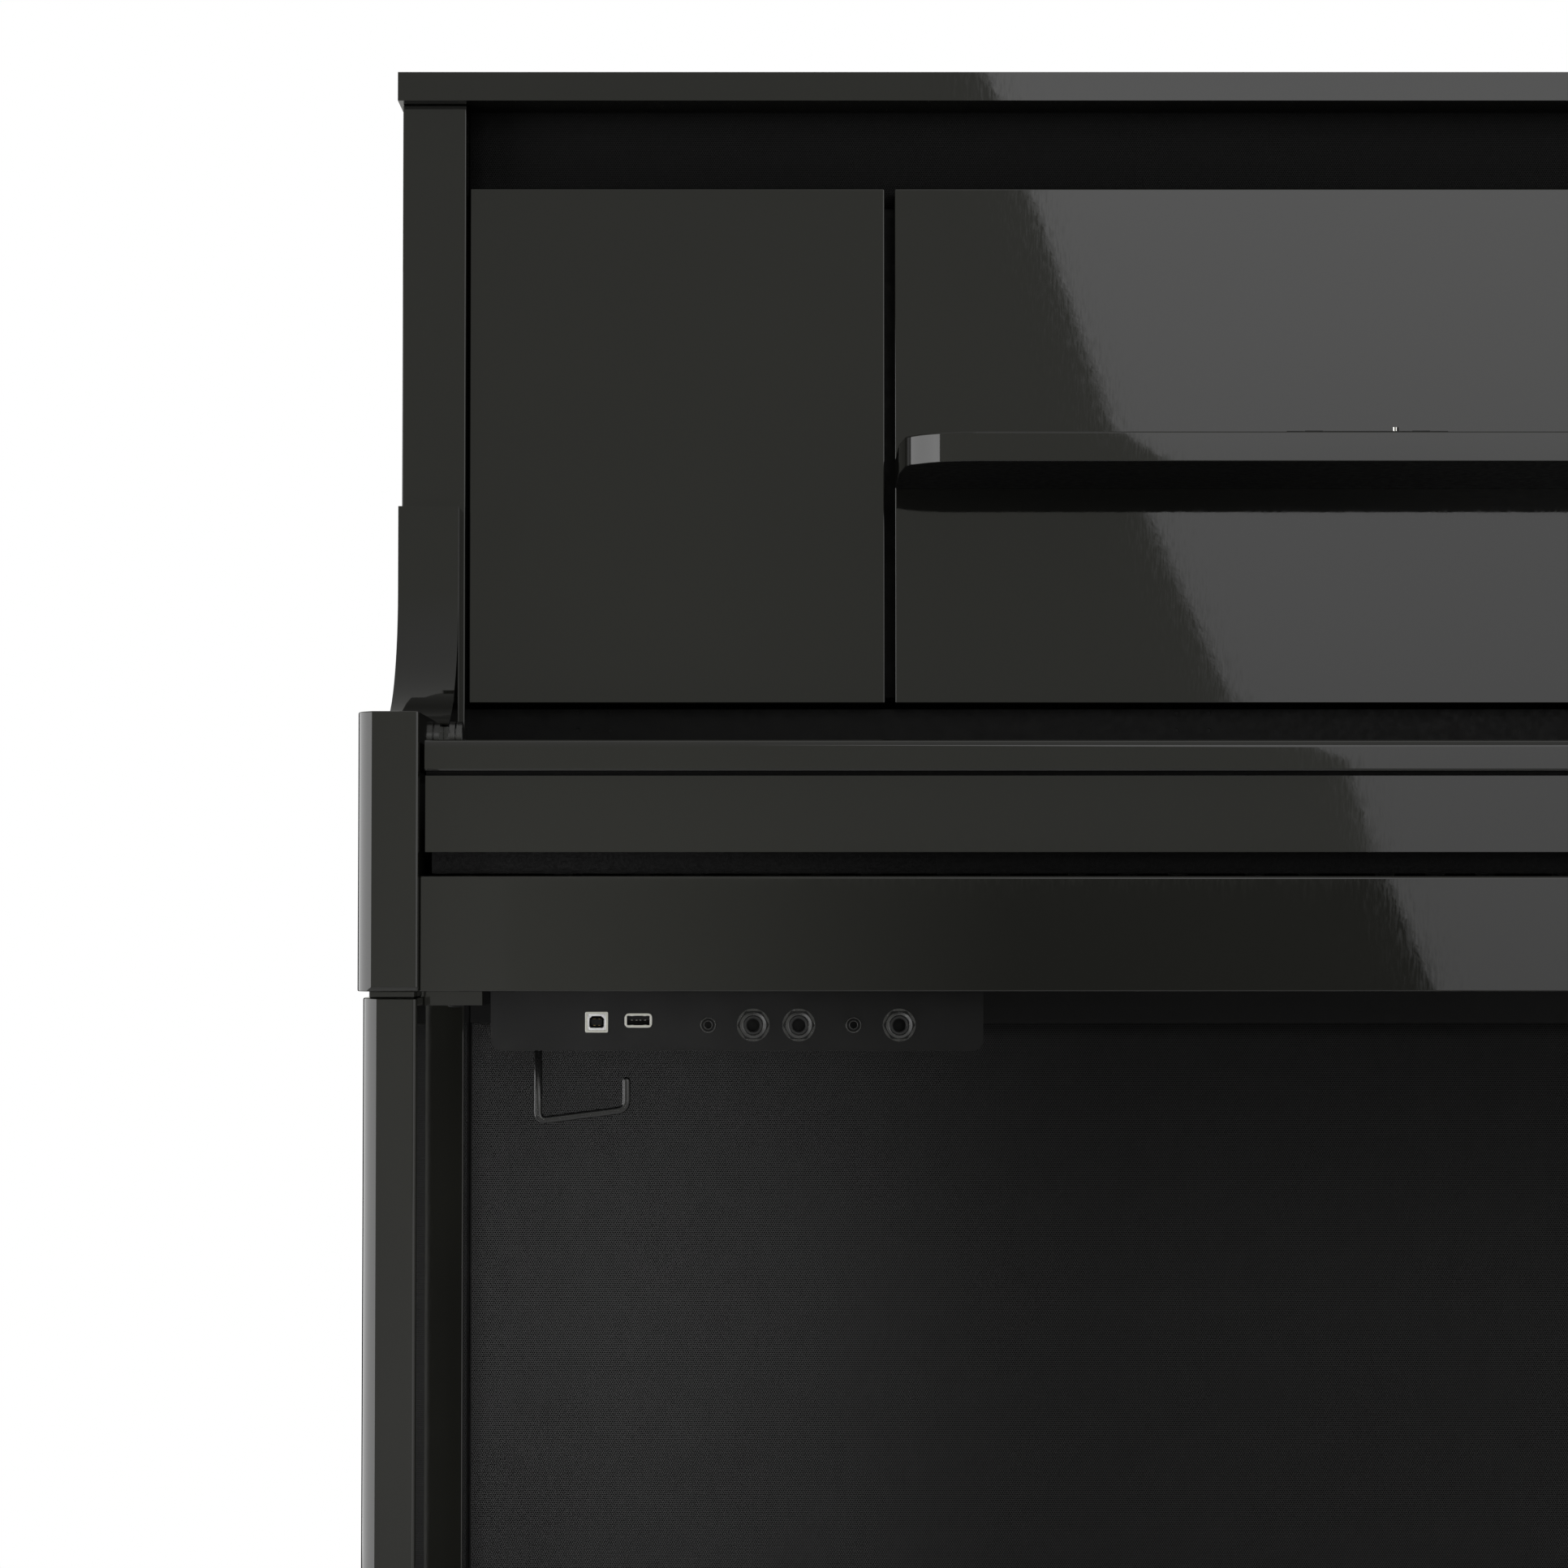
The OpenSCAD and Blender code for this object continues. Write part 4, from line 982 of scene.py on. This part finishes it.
SPEAKER_XS = -330 * MM, 330 * MM
SPEAKER_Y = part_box("lower_baffle")[1].y - 3.5 * MM
SPEAKER_Z = 390 * MM
SPEAKER_R = 52 * MM


def thickened(points, depth):
    """A closed profile: the points, and the same points moved back by a depth."""
    return points + [(r, h + depth) for r, h in reversed(points)] + points[:1]


def speaker(name, x):
    """A driver seen from the front: frame ring, rubber surround, paper cone and dust cap."""
    r = SPEAKER_R
    rim = [(1.12, 0), (1.12, -2.2), (1.0, -2.6), (0.98, -1), (0.98, 0), (1.12, 0)]
    shares = [i / 8 for i in range(9)]
    roll = [(r * (0.981 - 0.132 * k), -1 * MM - r * 0.055 * math.sin(math.pi * k)) for k in shares]
    flare = [(r * (0.85 - 0.551 * k), -1 * MM + r * 0.28 * k**0.8) for k in shares]
    angles = [math.radians(15 * i) for i in range(7)]
    dome = [(r * 0.3 * math.cos(a) + 0.02 * MM, r * (0.28 - 0.1 * math.sin(a)) - 1 * MM) for a in angles]
    parts = Parts()
    for profile, material in (
        ([(r * share, h * MM) for share, h in rim], MAT["black_metal"]),
        (thickened(roll, 0.8 * MM), RUBBER),
        (thickened(flare, 0.8 * MM), CONE_PAPER),
        (thickened(dome, 0.5 * MM), CONE_PAPER),
    ):
        parts.lathe(profile, (x, SPEAKER_Y, SPEAKER_Z), (0, 1, 0), material, 56)
    parts.build(name, slot="steel", bevel=0.3 * MM, segments=2, angle=50)


for i, x in enumerate(SPEAKER_XS):
    speaker("woofer_front_%d" % i, x)


# ------------------------------------------------------------------ light cards and lights

CARD_Y = -3.5
# The front softbox's slanted edge, as (z, x): its reflection crosses the polished front.
SOFTBOX_EDGE = [(2.9, -0.53), (1.934, -0.156), (1.783, -0.0985), (1.351, 0.052), (1.017, 0.2)]
SOFTBOX_EDGE += [(0.925, 0.3), (0.787, 0.337), (0.754, 0.356), (0.602, 0.413), (-0.4, 0.79)]
SOFTBOX_RIGHT = 5.0
LEFT_FRONT, LEFT_MIDDLE, LEFT_REAR = (-2.2, -1.5), (-1.9, 1.6), (-1.9, 9.0)


def upright(a, b, low, high):
    """Corners of an upright rectangle over two places on the floor."""
    return [(*a, low), (*b, low), (*b, high), (*a, high)]


def light_card(name, corners, levels, span=(0, 1), along="Z", tint=(1, 1, 1)):
    """A card the camera doesn't see, whose light runs between two levels over a span of an axis."""
    mat = bpy.data.materials.new(name)
    mat.use_nodes = True
    tree = mat.node_tree
    tree.nodes.clear()
    out = tree.nodes.new("ShaderNodeOutputMaterial")
    emit = tree.nodes.new("ShaderNodeEmission")
    coords = tree.nodes.new("ShaderNodeTexCoord")
    split = tree.nodes.new("ShaderNodeSeparateXYZ")
    scale = tree.nodes.new("ShaderNodeMapRange")
    emit.inputs["Color"].default_value = (*tint, 1)
    set_range(scale, *span, *levels)
    tree.links.new(coords.outputs["Object"], split.inputs[0])
    tree.links.new(split.outputs[along], scale.inputs[0])
    tree.links.new(scale.outputs[0], emit.inputs["Strength"])
    tree.links.new(emit.outputs[0], out.inputs["Surface"])
    mesh = bpy.data.meshes.new(name)
    mesh.from_pydata(corners, [], [tuple(range(len(corners)))])
    mesh.materials.append(mat)
    obj = bpy.data.objects.new(name, mesh)
    scene.collection.objects.link(obj)
    obj.visible_camera = False
    obj.visible_shadow = False


softbox = [(x, CARD_Y, z) for z, x in SOFTBOX_EDGE]
softbox += [(SOFTBOX_RIGHT, CARD_Y, SOFTBOX_EDGE[-1][0]), (SOFTBOX_RIGHT, CARD_Y, SOFTBOX_EDGE[0][0])]
light_card("front_softbox", softbox, levels=(1.25, 2.15), span=(0.5, 1.8))
light_card(
    "front_shade",
    upright((-0.85, CARD_Y - 0.1), (0.9, CARD_Y - 0.1), 0.3, 0.765),
    levels=(0.52, 0.2),
    span=(-0.85, -0.15),
    along="X",
    tint=(1, 1.01, 0.92),
)
light_card(
    "left_softbox",
    upright(LEFT_FRONT, LEFT_MIDDLE, 0.02, 1.3),
    levels=(4.0, 2.1),
    span=(-1.1, 0.9),
    along="Y",
)
light_card("left_shade", upright(LEFT_MIDDLE, LEFT_REAR, -0.5, 2.5), levels=(0.04, 0.04))


def area_light(name, place, target, size, power):
    """A rectangular light, seen neither by the camera nor in reflections."""
    data = bpy.data.lights.new(name, "AREA")
    data.shape = "RECTANGLE"
    data.size, data.size_y = size
    data.energy = power
    obj = bpy.data.objects.new(name, data)
    scene.collection.objects.link(obj)
    obj.location = place
    obj.rotation_mode = "QUATERNION"
    obj.rotation_quaternion = (Vector(target) - Vector(place)).to_track_quat("-Z", "Y")
    obj.visible_camera = False
    obj.visible_glossy = False
    return data


area_light("overhead", place=(0.3, -0.8, 3.2), target=(0, 0, 0.8), size=(2.4, 1.8), power=40)
knee_light = area_light(
    "knee_light", place=(-0.52, -0.95, 0.45), target=(-0.67, 0.04, 0.49), size=(0.12, 0.5), power=0.95
)
knee_light.spread = math.radians(42)


# ------------------------------------------------------------------ floor, world and camera

FLOOR_R = 2.6
FADE = 1.15, 1.95  # the floor fades out between these distances from the origin
FLOOR_GLOW = (0.36, 0.36, 0.355, 1)
WHITE = (1, 1, 1, 1)
WORLD_FILL = (0.10, 0.10, 0.098, 1)
# Tones of the room in reflections, from straight down (0) over the horizon (0.5) to straight up (1).
ROOM_TONES = [
    (0.30, (0.41, 0.41, 0.395)),
    (0.44, (0.62, 0.62, 0.60)),
    (0.50, (0.565, 0.57, 0.525)),
    (0.54, (0.565, 0.57, 0.515)),
    (0.62, (0.58, 0.585, 0.54)),
    (0.85, (0.62, 0.62, 0.60)),
]
LENS, SENSOR = 88.8, 36.0
CAMERA_PLACE = (-0.466, -2.2455, 0.687)
CAMERA_TILT = 92.1  # degrees from looking straight down


def floor_material():
    """Pale studio floor that fades out towards its rim."""
    s = Shader("floor", Roughness=0.6)
    s.colour(s.ramp(s.noise(2.5, 4), [(0.3, (0.80, 0.80, 0.79)), (0.7, (0.84, 0.84, 0.83))]))
    length = s.node("ShaderNodeVectorMath", operation="LENGTH")
    s.link(s.coords, length.inputs[0])
    fade = s.node("ShaderNodeMapRange", interpolation_type="SMOOTHSTEP")
    set_range(fade, *FADE, 0.0, 1.0)
    s.link(length.outputs["Value"], fade.inputs[0])
    clear = s.node("ShaderNodeBsdfTransparent")
    mix = s.node("ShaderNodeMixShader")
    out = next(n for n in s.tree.nodes if n.type == "OUTPUT_MATERIAL")
    s.link(fade.outputs[0], mix.inputs[0])
    glow = s.node("ShaderNodeEmission")
    glow.inputs["Color"].default_value = FLOOR_GLOW
    seen = s.node("ShaderNodeLightPath")
    s.link(seen.outputs["Is Camera Ray"], glow.inputs["Strength"])
    lit = s.node("ShaderNodeAddShader")
    s.link(s.bsdf.outputs[0], lit.inputs[0])
    s.link(glow.outputs[0], lit.inputs[1])
    s.link(lit.outputs[0], mix.inputs[1])
    s.link(clear.outputs[0], mix.inputs[2])
    s.link(mix.outputs[0], out.inputs["Surface"])
    return s.mat


def studio_world():
    """White behind the piano, a dim even light on it, and a pale room in its reflections."""
    world = bpy.data.worlds.new("studio")
    world.use_nodes = True
    tree = world.node_tree
    tree.nodes.clear()
    new, link = tree.nodes.new, tree.links.new
    out, path, coords = new("ShaderNodeOutputWorld"), new("ShaderNodeLightPath"), new("ShaderNodeTexCoord")
    back, room, fill = (new("ShaderNodeBackground") for _ in range(3))
    by_diffuse, by_camera = (new("ShaderNodeMixShader") for _ in range(2))
    split, height, ramp = new("ShaderNodeSeparateXYZ"), new("ShaderNodeMapRange"), new("ShaderNodeValToRGB")
    back.inputs["Color"].default_value = WHITE
    fill.inputs["Color"].default_value = WORLD_FILL
    set_range(height, -1.0, 1.0, 0.0, 1.0)
    set_stops(ramp, ROOM_TONES)
    link(coords.outputs["Generated"], split.inputs[0])
    link(split.outputs["Z"], height.inputs[0])
    link(height.outputs[0], ramp.inputs[0])
    link(ramp.outputs[0], room.inputs["Color"])
    link(path.outputs["Is Diffuse Ray"], by_diffuse.inputs[0])
    link(room.outputs[0], by_diffuse.inputs[1])
    link(fill.outputs[0], by_diffuse.inputs[2])
    link(path.outputs["Is Camera Ray"], by_camera.inputs[0])
    link(by_diffuse.outputs[0], by_camera.inputs[1])
    link(back.outputs[0], by_camera.inputs[2])
    link(by_camera.outputs[0], out.inputs["Surface"])
    return world


floor_mesh = bpy.data.meshes.new("floor")
floor_mesh.from_pydata([(x, y, 0) for x, y in circle(0, 0, FLOOR_R, 96)], [], [tuple(range(96))])
floor_mesh.materials.append(floor_material())
floor = bpy.data.objects.new("floor", floor_mesh)
scene.collection.objects.link(floor)

scene.world = studio_world()

camera_data = bpy.data.cameras.new("camera")
camera_data.lens = LENS
camera_data.sensor_width = SENSOR
camera = bpy.data.objects.new("camera", camera_data)
camera.location = CAMERA_PLACE
camera.rotation_euler = (math.radians(CAMERA_TILT), 0, 0)
scene.collection.objects.link(camera)
scene.camera = camera
